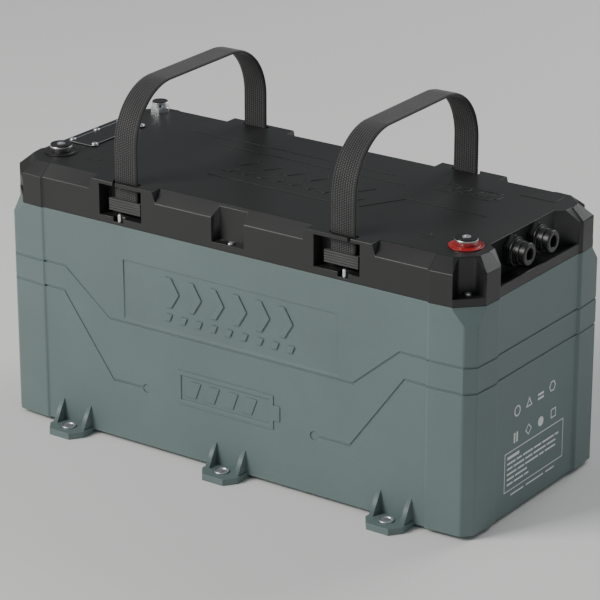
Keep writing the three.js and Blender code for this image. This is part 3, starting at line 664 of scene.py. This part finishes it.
class BATTERY_OT_front_motifs(bpy.types.Operator):
    """Makes the raised chevrons, the row of dashes and the battery outline on both long faces"""
    bl_idname = "battery.front_motifs"
    bl_label = "Front and rear motifs"

    def execute(self, context):
        for end, side in ENDS.items():
            raised = sizes().emblem_height
            floor = FACE_Y - 1 * MM
            inner = sorted((side * (floor - 0.3 * MM), side * (floor + raised)))
            outer = sorted((side * (FACE_Y - 0.3 * MM), side * (FACE_Y + 0.7 * raised)))
            parts = [slab("chevron", placed(CHEVRON, -71 + 25.2 * i, 147, flip=-side), *inner, "Y")
                     for i in range(6)]
            parts += [slab("dash", placed(DASH, -73 + 17 * i, 134, flip=-side), *inner, "Y")
                      for i in range(9)]
            flip = -side
            parts.append(ring_slab(
                "cell_outline", placed(rectangle(-58, 50, 56, 89), 0, 0, flip=flip),
                placed(rectangle(-53.5, 45.5, 60.5, 84.5), 0, 0, flip=flip), *outer, "Y"))
            parts.append(slab("nub", placed(rectangle(49, 57, 65, 80), 0, 0, flip=flip), *outer, "Y"))
            bar = [(0, 0), (12, 0), (18, 16), (6, 16)]
            parts += [slab("bar", placed(bar, -49 + 21 * i, 64.5, flip=flip), *outer, "Y")
                      for i in range(4)]
            for part in parts:
                soften(part, 0.65 * MM)
            motif = joined(f"case_motif_{end}", parts)
            finish_piece(motif, BODY, case_plastic(), "case_plastic")
        return {"FINISHED"}


class BATTERY_OT_end_print(bpy.types.Operator):
    """Makes the white printed shapes on the connector end of the case"""
    bl_idname = "battery.end_print"
    bl_label = "End print"

    def execute(self, context):
        low, high = END_X - 0.05 * MM, END_X + 0.12 * MM

        def plate(outline):
            return slab("print", placed(outline, 0, 0), low, high, "X")

        def polygon(middle_y, middle_z, radius, corners, start=90.0):
            angles = [math.radians(start + 360 * i / corners) for i in range(corners)]
            return [(middle_y + radius * math.cos(a), middle_z + radius * math.sin(a))
                    for a in angles]

        def outlined(middle_y, middle_z, radius, corners, start=90.0, stroke=1.3):
            outline = placed(polygon(middle_y, middle_z, radius, corners, start), 0, 0)
            hole = placed(polygon(middle_y, middle_z, radius - stroke, corners, start), 0, 0)
            return ring_slab("print", outline, hole, low, high, "X")

        parts = [ring_slab("print", placed(rectangle(-51.6, 49.3, 25, 62.7), 0, 0),
                           placed(rectangle(-50.8, 48.5, 25.8, 61.9), 0, 0), low, high, "X")]
        parts.append(plate(rectangle(-47, -27, 55.6, 58.4)))
        rows = {50.6: (14, 9, 17, 12, 20, 6), 45.6: (9, 18, 12, 21, 15), 40.6: (16, 11, 22, 8, 18),
                35.6: (12, 20), 30.6: (10, 16, 7)}
        for height, lengths in rows.items():
            start = -47.0
            for length in lengths:
                parts.append(plate(rectangle(start, start + length, height, height + 1.7)))
                start += length + 2
        for start, length in ((-40, 22), (-14, 30), (20, 15)):
            parts.append(plate(rectangle(start, start + length, 19.4, 20.8)))
        parts.append(outlined(-32, 98, 5.2, 32))
        parts.append(outlined(-12, 98.5, 6.2, 3, stroke=2.4))
        parts.append(plate(rectangle(3, 13, 99.5, 101.6)))
        parts.append(plate(rectangle(3, 13, 95.5, 97.6)))
        parts.append(outlined(28, 101, 5.6, 6, 0.0))
        parts.append(plate(rectangle(-37, -34.6, 68.5, 78)))
        parts.append(plate(rectangle(-32.6, -30.2, 68.5, 78)))
        parts.append(outlined(-12, 73.4, 5.4, 4))
        parts.append(plate(polygon(9, 73.4, 4.6, 24)))
        parts.append(outlined(31, 74, 6.2, 4, 45.0))
        ink = joined("end_print", parts)
        finish_piece(ink, BODY, white_ink(), "case_plastic")
        return {"FINISHED"}


class BATTERY_OT_lid_motifs(bpy.types.Operator):
    """Makes the shallow lines, chevrons and pole marks that stand on the lid"""
    bl_idname = "battery.lid_motifs"
    bl_label = "Lid motifs"

    def execute(self, context):
        low = LID_TOP - 0.2 * MM
        rise = 0.4 * MM
        lines = [((-168, 55), (71.5, 55)), ((-116, 36.5), (90.7, 36.5)), ((-74, -40), (90, -40)),
                 ((90.6, -37), (113.2, 4)), ((114, 5.3), (199, 5.3))]
        parts = []
        for (x0, y0), (x1, y1) in lines:
            along = Vector((x1 - x0, y1 - y0)).normalized()
            side = Vector((-along.y, along.x)) * 0.55
            corners = [(x0 - side.x, y0 - side.y), (x1 - side.x, y1 - side.y),
                       (x1 + side.x, y1 + side.y), (x0 + side.x, y0 + side.y)]
            parts.append(slab("line", placed(corners, 0, 0), low, LID_TOP + rise))
        parts += [slab("chevron", placed(CHEVRON, -70 + 26 * i, -4, 1.05), low, LID_TOP + rise)
                  for i in range(6)]
        parts += [slab("dash", placed(DASH, -70 + 17.6 * i, -24, 1.3), low, LID_TOP + rise)
                  for i in range(9)]
        parts.append(ring_slab("outline", placed(rectangle(120, 178, 42, 66), 0, 0),
                               placed(rectangle(123, 175, 45, 63), 0, 0), low, LID_TOP + rise, "Z"))
        parts.append(slab("nub", placed(rectangle(177.5, 182, 48, 60), 0, 0), low, LID_TOP + rise))
        parts += [slab("bar", placed([(0, 0), (7, 0), (10, 12), (3, 12)], 127 + 12 * i, 48),
                       low, LID_TOP + rise) for i in range(4)]
        parts.append(slab("plaque", placed(rectangle(190, 227, 72, 90), 0, 0), low, LID_TOP + rise))
        for part in parts:
            soften(part, 0.18 * MM, 1)
        motifs = joined("lid_motifs", parts)
        finish_piece(motifs, BODY, lid_plastic(), "lid_plastic")

        stroke = 1.3
        marks = [slab("minus", placed(rectangle(-196, -178, -66 - stroke, -66 + stroke), 0, 0),
                      low, LID_TOP + rise)]
        arm = 6.5
        cross = [(-arm, -stroke), (-stroke, -stroke), (-stroke, -arm), (stroke, -arm),
                 (stroke, -stroke), (arm, -stroke), (arm, stroke), (stroke, stroke),
                 (stroke, arm), (-stroke, arm), (-stroke, stroke), (-arm, stroke)]
        marks.append(slab("plus", placed(cross, 181, -65), low, LID_TOP + rise))
        for mark in marks:
            soften(mark, 0.18 * MM, 1)
        finish_piece(joined("pole_marks", marks), BODY, lid_plastic(), "lid_plastic")
        return {"FINISHED"}


# ---- Screws, bushings and terminals --------------------------------------------------------


def socket_screw(name, head, height, shank, grip, socket):
    """A dome-head screw standing on z = 0, with a six-sided socket."""
    steps = sizes().turned_steps
    dome = min(0.55 * height, 0.5 * head)
    profile = [(0, -grip), (shank * 0.7, -grip), (shank, -grip + 0.5), (shank, 0), (head, 0),
               (head, height - dome), (head * 0.94, height - 0.62 * dome),
               (head * 0.8, height - 0.27 * dome), (head * 0.6, height - 0.07 * dome), (0, height)]
    screw = turned(name, [(r * MM, z * MM) for r, z in profile], (0, 0, 0), steps // 2)
    hexagon = [(socket * math.cos(math.tau * i / 6) * MM, socket * math.sin(math.tau * i / 6) * MM)
               for i in range(6)]
    carve(screw, slab("socket", hexagon, (height - 1.4) * MM, 2 * height * MM))
    shade(screw, 30)
    return screw


class BATTERY_OT_screws(bpy.types.Operator):
    """Makes the ten lid screws and the six screws of the service cover"""
    bl_idname = "battery.screws"
    bl_label = "Screws"

    def execute(self, context):
        window_screws = range(3, 7)
        self.repeat("lid_screw", [1, 2, *range(7, 11)], (3.1, 2.2, 1.4, 8.0, 1.25))
        self.repeat("lid_screw", window_screws, (2.1, 7.2, 1.4, 8.0, 1.0))
        self.repeat("service_screw", range(1, 7), (2.9, 1.9, 1.25, 3.0, 1.1))
        return {"FINISHED"}

    def repeat(self, name, numbers, dimensions):
        master = socket_screw(f"{name}_master", *dimensions)
        grip = dimensions[3] * MM
        for i in numbers:
            low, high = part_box(f"{name}_{i}")
            middle = (low + high) / 2
            screw = copied(master, f"steel_{name}_{i}", (middle.x, middle.y, low.z + grip))
            finish_piece(screw, BODY, steel(), "plated_steel", f"{name}_{i}")
        bpy.data.objects.remove(master)


class BATTERY_OT_bushings(bpy.types.Operator):
    """Makes the six metal bushings in the feet"""
    bl_idname = "battery.bushings"
    bl_label = "Foot bushings"

    def execute(self, context):
        profile = [(4.5, 0.9), (5.2, 0.2), (6.6, 0.2), (7, 0.6), (7, 7.2), (6.6, 7.6), (5.3, 7.6),
                   (4.5, 6.8), (4.5, 0.9)]
        profile = [(r * MM, z * MM) for r, z in profile]
        for end in ENDS:
            for i in range(1, 4):
                node = f"foot_bushing_{end}_{i}"
                low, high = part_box(node)
                middle = (low + high) / 2
                bushing = turned(f"steel_{node}", profile, (middle.x, middle.y, 0),
                                 sizes().turned_steps)
                shade(bushing, 30)
                finish_piece(bushing, BODY, steel(), "plated_steel", node)
        return {"FINISHED"}


class BATTERY_OT_terminals(bpy.types.Operator):
    """Makes both terminals: tapered post, ring, black cap and bolt"""
    bl_idname = "battery.terminals"
    bl_label = "Terminals"

    def execute(self, context):
        steps = sizes().turned_steps
        for pole in ("negative", "positive"):
            low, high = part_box(f"{pole}_terminal_ring")
            at = ((low.x + high.x) / 2, (low.y + high.y) / 2, 0)
            post = turned(f"turned_{pole}_post", self.metres([
                (4.3, 238), (9.3, 238), (9.3, 243), (8.2, 243), (8.2, 256.4), (8.6, 256.9),
                (10.1, 259.8), (10.4, 260.4), (10.4, 261.7), (10.2, 262), (4.3, 262),
                (4.3, 238)]), at, steps)
            shade(post, 30)
            finish_piece(post, BODY, tinned_metal(), "terminal_metal", f"{pole}_terminal_post")
            ring = turned(f"moulded_{pole}_ring", self.metres([
                (8.5, 255.1), (15.3, 255.1), (15.5, 255.3), (15.5, 255.75), (15.35, 256.05),
                (14.9, 256.25), (14.3, 256.25), (14.0, 256.05), (12.8, 256.0), (12.4, 256.35),
                (8.9, 256.4), (8.5, 256.3), (8.5, 255.1)]), at, steps)
            shade(ring, 35)
            plastic = red_plastic() if pole == "positive" else black_plastic()
            slot = "red_plastic" if pole == "positive" else "black_plastic"
            finish_piece(ring, BODY, plastic, slot, f"{pole}_terminal_ring")
            cap = turned(f"moulded_{pole}_cap", self.metres([
                (4.3, 262.1), (10, 262.1), (10, 263.1), (9.85, 263.4), (9.5, 263.5), (4.9, 263.5),
                (4.45, 263.4), (4.3, 263.1), (4.3, 262.1)]), at, steps)
            shade(cap, 35)
            finish_piece(cap, BODY, black_plastic(), "black_plastic", f"{pole}_terminal_cap")
            bolt = turned(f"turned_{pole}_bolt", self.metres([
                (0, 240), (3.6, 240), (4, 240.5), (4, 263.4), (3.85, 263.75), (3.5, 263.9),
                (1.7, 263.9), (1.5, 263.8), (1.0, 263.3), (0, 263.3)]), at, steps)
            shade(bolt, 30)
            finish_piece(bolt, BODY, steel(), "plated_steel", f"{pole}_terminal_bolt")
        return {"FINISHED"}

    def metres(self, profile):
        return [(r * MM, z * MM) for r, z in profile]


# ---- Service cover, vent and connectors ----------------------------------------------------


class BATTERY_OT_service_cover(bpy.types.Operator):
    """Makes the service cover with its rounded edge and a small raised mark"""
    bl_idname = "battery.service_cover"
    bl_label = "Service cover"

    def execute(self, context):
        cover = copy_of("service_cover", "moulded_service_cover")
        # Adds a painted highlight: a thin bright steel strip round the cover's top edge
        self.outline(cover)
        round_edges(cover, lambda middle, edge: 0.35 * MM)
        shade(cover)
        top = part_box("service_cover")[1].z
        mark = slab("mark", placed(rectangle(-225.4, -220, -6.2, -4.9), 0, 0),
                    top - 0.2 * MM, top + 0.3 * MM)
        soften(mark, 0.15 * MM, 1)
        cover = joined("moulded_service_cover", [mark, cover])
        finish_piece(cover, BODY, lid_plastic(), "lid_plastic", "service_cover")
        return {"FINISHED"}

    def outline(self, cover):
        """A thin strip of bright plated steel along the cover's top edge, made from a copy of its top
        face: a painted highlight where the edge catches the light.
        """
        width, rise = 0.85 * MM, 0.12 * MM
        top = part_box("service_cover")[1].z
        choose(cover)
        bpy.ops.object.duplicate()
        bright = new_piece("painted_highlight_cover_edge")
        edit(bright)
        pick(bright, lambda middle: middle.z < top - 0.01 * MM)
        bpy.ops.mesh.delete(type="FACE")
        bpy.ops.mesh.select_all(action="SELECT")
        bpy.ops.mesh.inset(thickness=width)
        bpy.ops.mesh.delete(type="FACE")
        leave_edit()
        shape_with(bright, "SOLIDIFY", thickness=rise, offset=1.0)
        shade(bright)
        finish_piece(bright, BODY, steel(), "plated_steel")


def hexagon_nut(name, across_flats, height, bore, centre, axis="Z"):
    """A chamfered hexagon with a hole, standing on its centre."""
    reach = across_flats / 2 / math.cos(math.pi / 6)
    outline = [(reach * math.cos(math.tau * i / 6) * MM, reach * math.sin(math.tau * i / 6) * MM)
               for i in range(6)]
    nut = slab(name, outline, 0, height * MM)
    edge = (reach - across_flats / 2) * 0.62
    cone = turned("cone", [(bore * MM, -1 * MM), ((reach - 1.2 * edge) * MM, -1 * MM),
                           ((reach + 0.4) * MM, edge * MM), ((reach + 0.4) * MM, (height - edge) * MM),
                           ((reach - 1.2 * edge) * MM, (height + 1) * MM), (bore * MM, (height + 1) * MM),
                           (bore * MM, -1 * MM)], (0, 0, 0), sizes().turned_steps)
    carve(nut, cone, "INTERSECT")
    if axis == "X":
        nut.rotation_euler = (0, math.pi / 2, 0)
    nut.location = centre
    settle(nut)
    soften(nut, 0.15 * MM, 1)
    return nut


class BATTERY_OT_vent(bpy.types.Operator):
    """Makes the pressure vent: plated hexagon, tapered barrel with its side hole, dark cap"""
    bl_idname = "battery.vent"
    bl_label = "Vent"

    def execute(self, context):
        at = (-227.5 * MM, 87.5 * MM, 0)
        base = LID_TOP + 0.1 * MM
        steps = sizes().turned_steps
        hexagon = hexagon_nut("hexagon", 17, 4.2, 2.1, (at[0], at[1], base))
        profile = [(2, 245.1), (4.9, 245.1), (4.9, 255.6), (8.3, 255.6), (8.3, 260.4), (8.1, 261),
                   (7.75, 263.2), (7.9, 263.6), (7.9, 264.2), (7.6, 264.5), (6.3, 264.5),
                   (6.3, 259.4), (2, 259.4), (2, 245.1)]
        barrel = turned("barrel", [(r * MM, z * MM) for r, z in profile], at, steps)
        drill = turned("drill", [(0, 0), (1.2 * MM, 0), (1.2 * MM, 12 * MM), (0, 12 * MM)],
                       (at[0], at[1], 261.8 * MM), 16, "X")
        drill.rotation_euler = (0, 0, math.radians(-52))
        pivot = Vector((at[0], at[1], 0))
        drill.location = pivot - Matrix.Rotation(math.radians(-52), 3, "Z") @ pivot
        settle(drill)
        carve(barrel, drill)
        shade(barrel, 30)
        body = joined("plated_vent_body", [hexagon, barrel])
        finish_piece(body, BODY, steel(), "plated_steel", "vent_body")
        top = [(0, 262.5), (6, 262.5), (6, 264.6), (7.5, 264.6), (7.7, 264.8), (7.7, 265.1),
               (7.4, 265.4), (6.9, 265.5), (6.2, 265.3), (0, 265.3)]
        cap = turned("moulded_vent_cap", [(r * MM, z * MM) for r, z in top], at, steps)
        shade(cap, 30)
        finish_piece(cap, BODY, black_plastic(), "black_plastic", "vent_cap")
        return {"FINISHED"}


class BATTERY_OT_connectors(bpy.types.Operator):
    """Makes the two round data connectors with their nuts"""
    bl_idname = "battery.connectors"
    bl_label = "Data connectors"

    def execute(self, context):
        steps = sizes().turned_steps
        profile = [(0, 229), (7.6, 229), (8, 229.4), (8, 242.7), (12.8, 242.7), (13, 242.9),
                   (13, 244), (12.7, 244.3), (11, 244.5), (10.5, 245), (10.5, 246.6), (10.2, 246.8),
                   (10.2, 247.4), (10.5, 247.6), (10.5, 250.1), (10.2, 250.4), (9.5, 250.5),
                   (9.5, 251.5), (9.9, 251.6), (10.1, 251.9), (10.1, 255.9), (9.8, 256.5),
                   (9.1, 257), (6.2, 257), (5.6, 256.6), (5.3, 256), (5.3, 243), (0, 243)]
        for i, side in ((1, -1), (2, 1)):
            at = Vector((0, 20 * side, 240)) * MM
            body = turned(f"moulded_connector_body_{i}", [(r * MM, x * MM) for r, x in profile],
                          at, steps, "X")
            shade(body, 30)
            pins = []
            for turn in range(5):
                angle = math.tau * turn / 5
                place = at + Vector((243.0, 2.7 * math.cos(angle), 2.7 * math.sin(angle))) * MM
                pin = turned("pin", [(0, 0), (0.55 * MM, 0), (0.55 * MM, 5.6 * MM),
                                     (0.35 * MM, 6 * MM), (0, 6 * MM)], place, 12, "X")
                pins.append(shade_and_return(pin))
            finish_piece(joined(f"connector_pins_{i}", pins), BODY, tinned_metal(),
                         "terminal_metal")
            finish_piece(body, BODY, black_plastic(), "black_plastic", f"connector_body_{i}")
            nut = hexagon_nut(f"moulded_connector_nut_{i}", 26, 5, 8.3,
                              at + Vector((237.3 * MM, 0, 0)), "X")
            finish_piece(nut, BODY, black_plastic(), "black_plastic", f"connector_nut_{i}")
        return {"FINISHED"}


def shade_and_return(piece):
    shade(piece, 30)
    return piece


# ---- Handles -------------------------------------------------------------------------------

LEG_Y = 103.5  # middle of a standing leg, mm
LEG_FOOT = 227.3  # lowest point of the webbing, mm
LEG_SKEW = 3.0  # how far the front foot stands to the right of the middle, mm
BAR_SKEW = 2.0  # the same for the ribbed bar, mm
SELVEDGE = 0.3  # least width of each plain edge, in rib pitches
ARCH_TOP = 343.0  # outer face of the webbing, mm
ARCH_BEND = 56.0  # outer radius of the top corners, mm


def arch_point(distance, depth):
    """Middle line of the webbing at a distance from the front foot, in mm: (y, z), outward (y, z)."""
    radius = ARCH_BEND - depth / 2
    leg = ARCH_TOP - ARCH_BEND - LEG_FOOT
    bend = radius * math.pi / 2
    flat = 2 * (LEG_Y - radius)
    spring = ARCH_TOP - ARCH_BEND
    if distance <= leg:
        return (-LEG_Y, LEG_FOOT + distance), (-1.0, 0.0)
    distance -= leg
    if distance <= bend:
        angle = math.pi - distance / radius
        outward = (math.cos(angle), math.sin(angle))
        return (-LEG_Y + radius + radius * outward[0], spring + radius * outward[1]), outward
    distance -= bend
    if distance <= flat:
        return (-LEG_Y + radius + distance, spring + radius), (0.0, 1.0)
    distance -= flat
    if distance <= bend:
        angle = math.pi / 2 - distance / radius
        outward = (math.cos(angle), math.sin(angle))
        return (LEG_Y - radius + radius * outward[0], spring + radius * outward[1]), outward
    return (LEG_Y, spring - (distance - bend)), (1.0, 0.0)


def arch_length(depth):
    radius = ARCH_BEND - depth / 2
    return 2 * (ARCH_TOP - ARCH_BEND - LEG_FOOT) + math.pi * radius + 2 * (LEG_Y - radius)


def rib_height(across, along, columns, pitch_across, pitch_along):
    """Height from 0 to 1 of the weave: oval floats, each column half a float further on, with a
    plain selvedge on both sides."""
    inside = across / pitch_across + columns / 2
    column = math.floor(inside + 0.001)
    if not 0 <= column < columns:
        return 0.4
    u = inside - column
    v = (along / pitch_along + 0.5 * (column % 2)) % 1.0
    round_u = max(0.0, 1 - (2 * u - 1) ** 2) ** 0.5
    round_v = max(0.0, 1 - (2 * v - 1) ** 2) ** 0.5
    return round_u * round_v


class BATTERY_OT_handles(bpy.types.Operator):
    """Makes both webbing handles, woven ribs and all, and the ribbed bars at their ends"""
    bl_idname = "battery.handles"
    bl_label = "Webbing handles"

    def execute(self, context):
        for hand in HANDS:
            middle_x = HANDLE_MIDDLES[hand] / MM
            webbing = self.weave(f"woven_handle_{hand}", middle_x)
            finish_piece(webbing, None, polypropylene_webbing(), "webbing",
                         f"handle_webbing_{hand}")
            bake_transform(webbing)
            for end, facing in ENDS.items():
                bar = self.anchor(f"ribbed_anchor_{hand}_{end}", middle_x, facing)
                finish_piece(bar, f"{hand}_strap_ends", polypropylene_webbing(), "webbing",
                             f"strap_anchor_{hand}_{end}")
        return {"FINISHED"}

    def weave(self, name, middle_x):
        """A closed band: round the section goes the grid's width, along the arch its length."""
        width = sizes().webbing_width / MM
        depth = sizes().webbing_thickness / MM
        pitch_u, pitch_v = sizes().rib_across / MM, sizes().rib_along / MM
        rib = sizes().rib_depth / MM
        half, body = width / 2, depth / 2 - rib / 2
        samples = 4  # grid cells for each rib, both ways
        straight = half - body
        columns = math.floor(2 * (straight / pitch_u - SELVEDGE))
        ribbed = [pitch_u * (i / samples - columns / 2) for i in range(columns * samples + 1)]
        across_at = [-straight, *ribbed, straight]
        corner = 3
        around = 2 * (len(across_at) - 1 + corner)
        rows = round(arch_length(depth) / pitch_v * samples)
        step = arch_length(depth) / rows
        deselect()
        bpy.ops.mesh.primitive_grid_add(x_subdivisions=around, y_subdivisions=rows, size=1)
        band = new_piece(name)
        heights = []
        section = self.section(straight, body, across_at, corner)
        turn = Matrix.Rotation(math.atan(LEG_SKEW / LEG_Y), 3, "Z")
        for index, vertex in enumerate(band.data.vertices):
            row, column = divmod(index, around + 1)
            across, out, face, lift = section[column % around]
            along = row * step
            height = rib_height(across, along + (pitch_v / 2 if face < 0 else 0),
                                columns, pitch_u, pitch_v)
            middle, outward = arch_point(along, depth)
            thickness = out + face * lift * rib * height
            place = turn @ Vector((across, middle[0] + outward[0] * thickness,
                                   middle[1] + outward[1] * thickness))
            vertex.co = (place + Vector((middle_x, 0, 0))) * MM
            heights.append(height if lift else 0.4)
        # rib_height drives the webbing material's painted light: painted highlight on raised ribs,
        # painted shade between them, a middle value on the plain edges
        layer = band.data.attributes.new("rib_height", "FLOAT", "POINT")
        layer.data.foreach_set("value", heights)
        edit(band, "VERT")
        bpy.ops.mesh.remove_doubles(threshold=0.001 * MM)
        bpy.ops.mesh.select_all(action="DESELECT")
        bpy.ops.mesh.select_non_manifold()
        bpy.ops.mesh.edge_face_add()
        bpy.ops.mesh.select_all(action="SELECT")
        bpy.ops.mesh.normals_make_consistent(inside=False)
        leave_edit()
        choose(band)
        bpy.ops.object.shade_smooth()
        return band

    def section(self, straight, body, across_at, corner):
        """Round the band's section in mm: (across, out, face, share of the rib height)."""
        points = []
        for face in (1, -1):
            for i, across in enumerate(across_at[:-1]):
                points.append((face * across, face * body, face, 1.0 if i else 0.0))
            for i in range(corner):
                angle = math.pi / 2 - math.pi * i / corner
                points.append((face * (straight + body * math.cos(angle)),
                               face * body * math.sin(angle), face, 0.0))
        return points

    def anchor(self, name, middle_x, facing):
        """A flat bar in front of the webbing with round ribs along it and a lug at each end."""
        strap_x = middle_x - facing * LEG_SKEW
        middle_x = middle_x - facing * BAR_SKEW
        ribs, low, high = 5, 226.2, 238.2
        pitch = (high - low) / ribs
        profile = [(-104.95, low)]
        for i in range(ribs):
            foot = low + i * pitch
            profile += [(-105.75, foot + 0.05), (-106.25, foot + 0.2 * pitch),
                        (-106.4, foot + 0.5 * pitch), (-106.25, foot + 0.8 * pitch)]
        profile += [(-105.75, high), (-104.95, high)]
        outline = [(-facing * y * MM, z * MM) for y, z in profile]
        if facing > 0:
            outline = outline[::-1]
        x0, x1 = (middle_x - 17.9) * MM, (middle_x + 17.9) * MM
        bar = slab(name, outline, x0, x1, "X")
        lugs = []
        for hand in SIDES:
            near, far = sorted((strap_x + hand * 13.1, middle_x + hand * 17.6))
            y0, y1 = sorted((facing * 101.6, facing * 105.4))
            lugs.append(block("lug", (near * MM, y0 * MM, 227 * MM), (far * MM, y1 * MM, 237.6 * MM)))
        for lug in lugs:
            carve(bar, lug, "UNION")
        soften(bar, 0.25 * MM)
        return self.with_height(bar)

    def with_height(self, bar):
        """The bar is bound in the same yarn, so it carries the same attribute."""
        layer = bar.data.attributes.new("rib_height", "FLOAT", "POINT")
        # Higher on the rib crests, lower in the hollows: through the webbing material this paints
        # highlight on the crests and shade in the hollows
        depths = [min(1.0, max(0.0, (abs(v.co.y) / MM - 105.7) / 0.7)) for v in bar.data.vertices]
        layer.data.foreach_set("value", depths)
        return bar


# ---- Inner pieces --------------------------------------------------------------------------


class BATTERY_OT_inner_finishes(bpy.types.Operator):
    """Gives the gasket, cells, plates, boards and busbars inside the case their finishes"""
    bl_idname = "battery.inner_finishes"
    bl_label = "Inner finishes"

    def execute(self, context):
        finishes = {
            "gasket_rubber": (gasket_rubber(), ["lid_gasket"]),
            "cell_aluminium": (drawn_aluminium(), [f"cell_{i}" for i in range(1, 9)] + [
                "pack_end_plate_left", "pack_end_plate_right", "battery_management_unit"]),
            "circuit_board": (green_board(), ["cell_link_board"]),
            "copper": (bare_copper(), ["negative_busbar", "positive_busbar"]),
        }
        for material, nodes in finishes.values():
            for node in nodes:
                mesh = frame["nodes"][node].data
                mesh.materials.clear()
                mesh.materials.append(material)
        return {"FINISHED"}


# ---- Stage ---------------------------------------------------------------------------------


class BATTERY_OT_stage(bpy.types.Operator):
    """Sets up the pale floor, the soft studio lights and the camera"""
    bl_idname = "battery.stage"
    bl_label = "Stage"

    def execute(self, context):
        deselect()
        bpy.ops.mesh.primitive_plane_add(size=1, location=(0, 0, 0))
        floor = new_piece("studio_floor")
        floor.scale = (14, 14, 1)
        settle(floor)
        material = start_material(
            "matt_painted_floor", Base_Color=tuple(colours().floor), Roughness=0.7)[0]
        floor.data.materials.append(material)
        self.add_lights(context)
        self.add_camera(context)
        return {"FINISHED"}

    def add_lights(self, context):
        """A large soft key at the front left, a weak fill and a strip behind the lid."""
        target = Vector((0, 0, 0.15))
        lamps = {
            "key": ((-1.6, -2.4, 2.2), 1.6, 100, (1.0, 0.985, 0.96)),
            "fill": ((2.6, -1.2, 1.0), 1.6, 3, (0.94, 0.97, 1.0)),
            "rim": ((0.6, 2.4, 1.9), 1.8, 34, (1.0, 1.0, 1.0)),
        }
        for name, (place, size, power, tint) in lamps.items():
            deselect()
            bpy.ops.object.light_add(type="AREA", location=place)
            lamp = context.object
            lamp.name = name
            lamp.data.size = size
            lamp.data.energy = power
            lamp.data.color = tint
            lamp.rotation_euler = (target - Vector(place)).to_track_quat("-Z", "Y").to_euler()
        world = bpy.data.worlds.new("soft_studio")
        world.use_nodes = True
        background = world.node_tree.nodes["Background"]
        background.inputs["Color"].default_value = linear("#c8ccd0")
        background.inputs["Strength"].default_value = 0.38
        context.scene.world = world

    def add_camera(self, context):
        place = Vector((1.4290, -2.0283, 1.0904))
        target = Vector((0.0004, 0.0008, 0.13466))
        deselect()
        bpy.ops.object.camera_add(location=place)
        camera = context.object
        camera.rotation_euler = (target - place).to_track_quat("-Z", "Y").to_euler()
        camera.data.sensor_width = 36
        camera.data.lens = 172.3
        context.scene.camera = camera


# ---- Panel and registration ----------------------------------------------------------------

OPERATORS = (
    BATTERY_OT_stage,
    BATTERY_OT_case,
    BATTERY_OT_lid,
    BATTERY_OT_front_motifs,
    BATTERY_OT_end_print,
    BATTERY_OT_lid_motifs,
    BATTERY_OT_screws,
    BATTERY_OT_bushings,
    BATTERY_OT_terminals,
    BATTERY_OT_service_cover,
    BATTERY_OT_vent,
    BATTERY_OT_connectors,
    BATTERY_OT_handles,
    BATTERY_OT_inner_finishes,
)


class BATTERY_PT_panel(bpy.types.Panel):
    """Lists the battery's pieces, sizes and colours"""
    bl_label = "Deep cycle battery"
    bl_idname = "BATTERY_PT_panel"
    bl_space_type = "VIEW_3D"
    bl_region_type = "UI"
    bl_category = "Battery"

    def draw(self, context):
        for operator in OPERATORS:
            self.layout.operator(operator.bl_idname)
        for group in (context.scene.battery_sizes, context.scene.battery_colours):
            for key in group.bl_rna.properties.keys():
                if key not in ("rna_type", "name"):
                    self.layout.prop(group, key)


CLASSES = (BatterySizes, BatteryColours, *OPERATORS, BATTERY_PT_panel)


def register():
    for each in CLASSES:
        bpy.utils.register_class(each)
    bpy.types.Scene.battery_sizes = PointerProperty(type=BatterySizes)
    bpy.types.Scene.battery_colours = PointerProperty(type=BatteryColours)


def unregister():
    del bpy.types.Scene.battery_colours
    del bpy.types.Scene.battery_sizes
    for each in reversed(CLASSES):
        bpy.utils.unregister_class(each)


def main():
    register()
    for operator in OPERATORS:
        area, name = operator.bl_idname.split(".")
        getattr(getattr(bpy.ops, area), name)()
    bpy.context.view_layer.update()


if __name__ == "__main__":
    main()
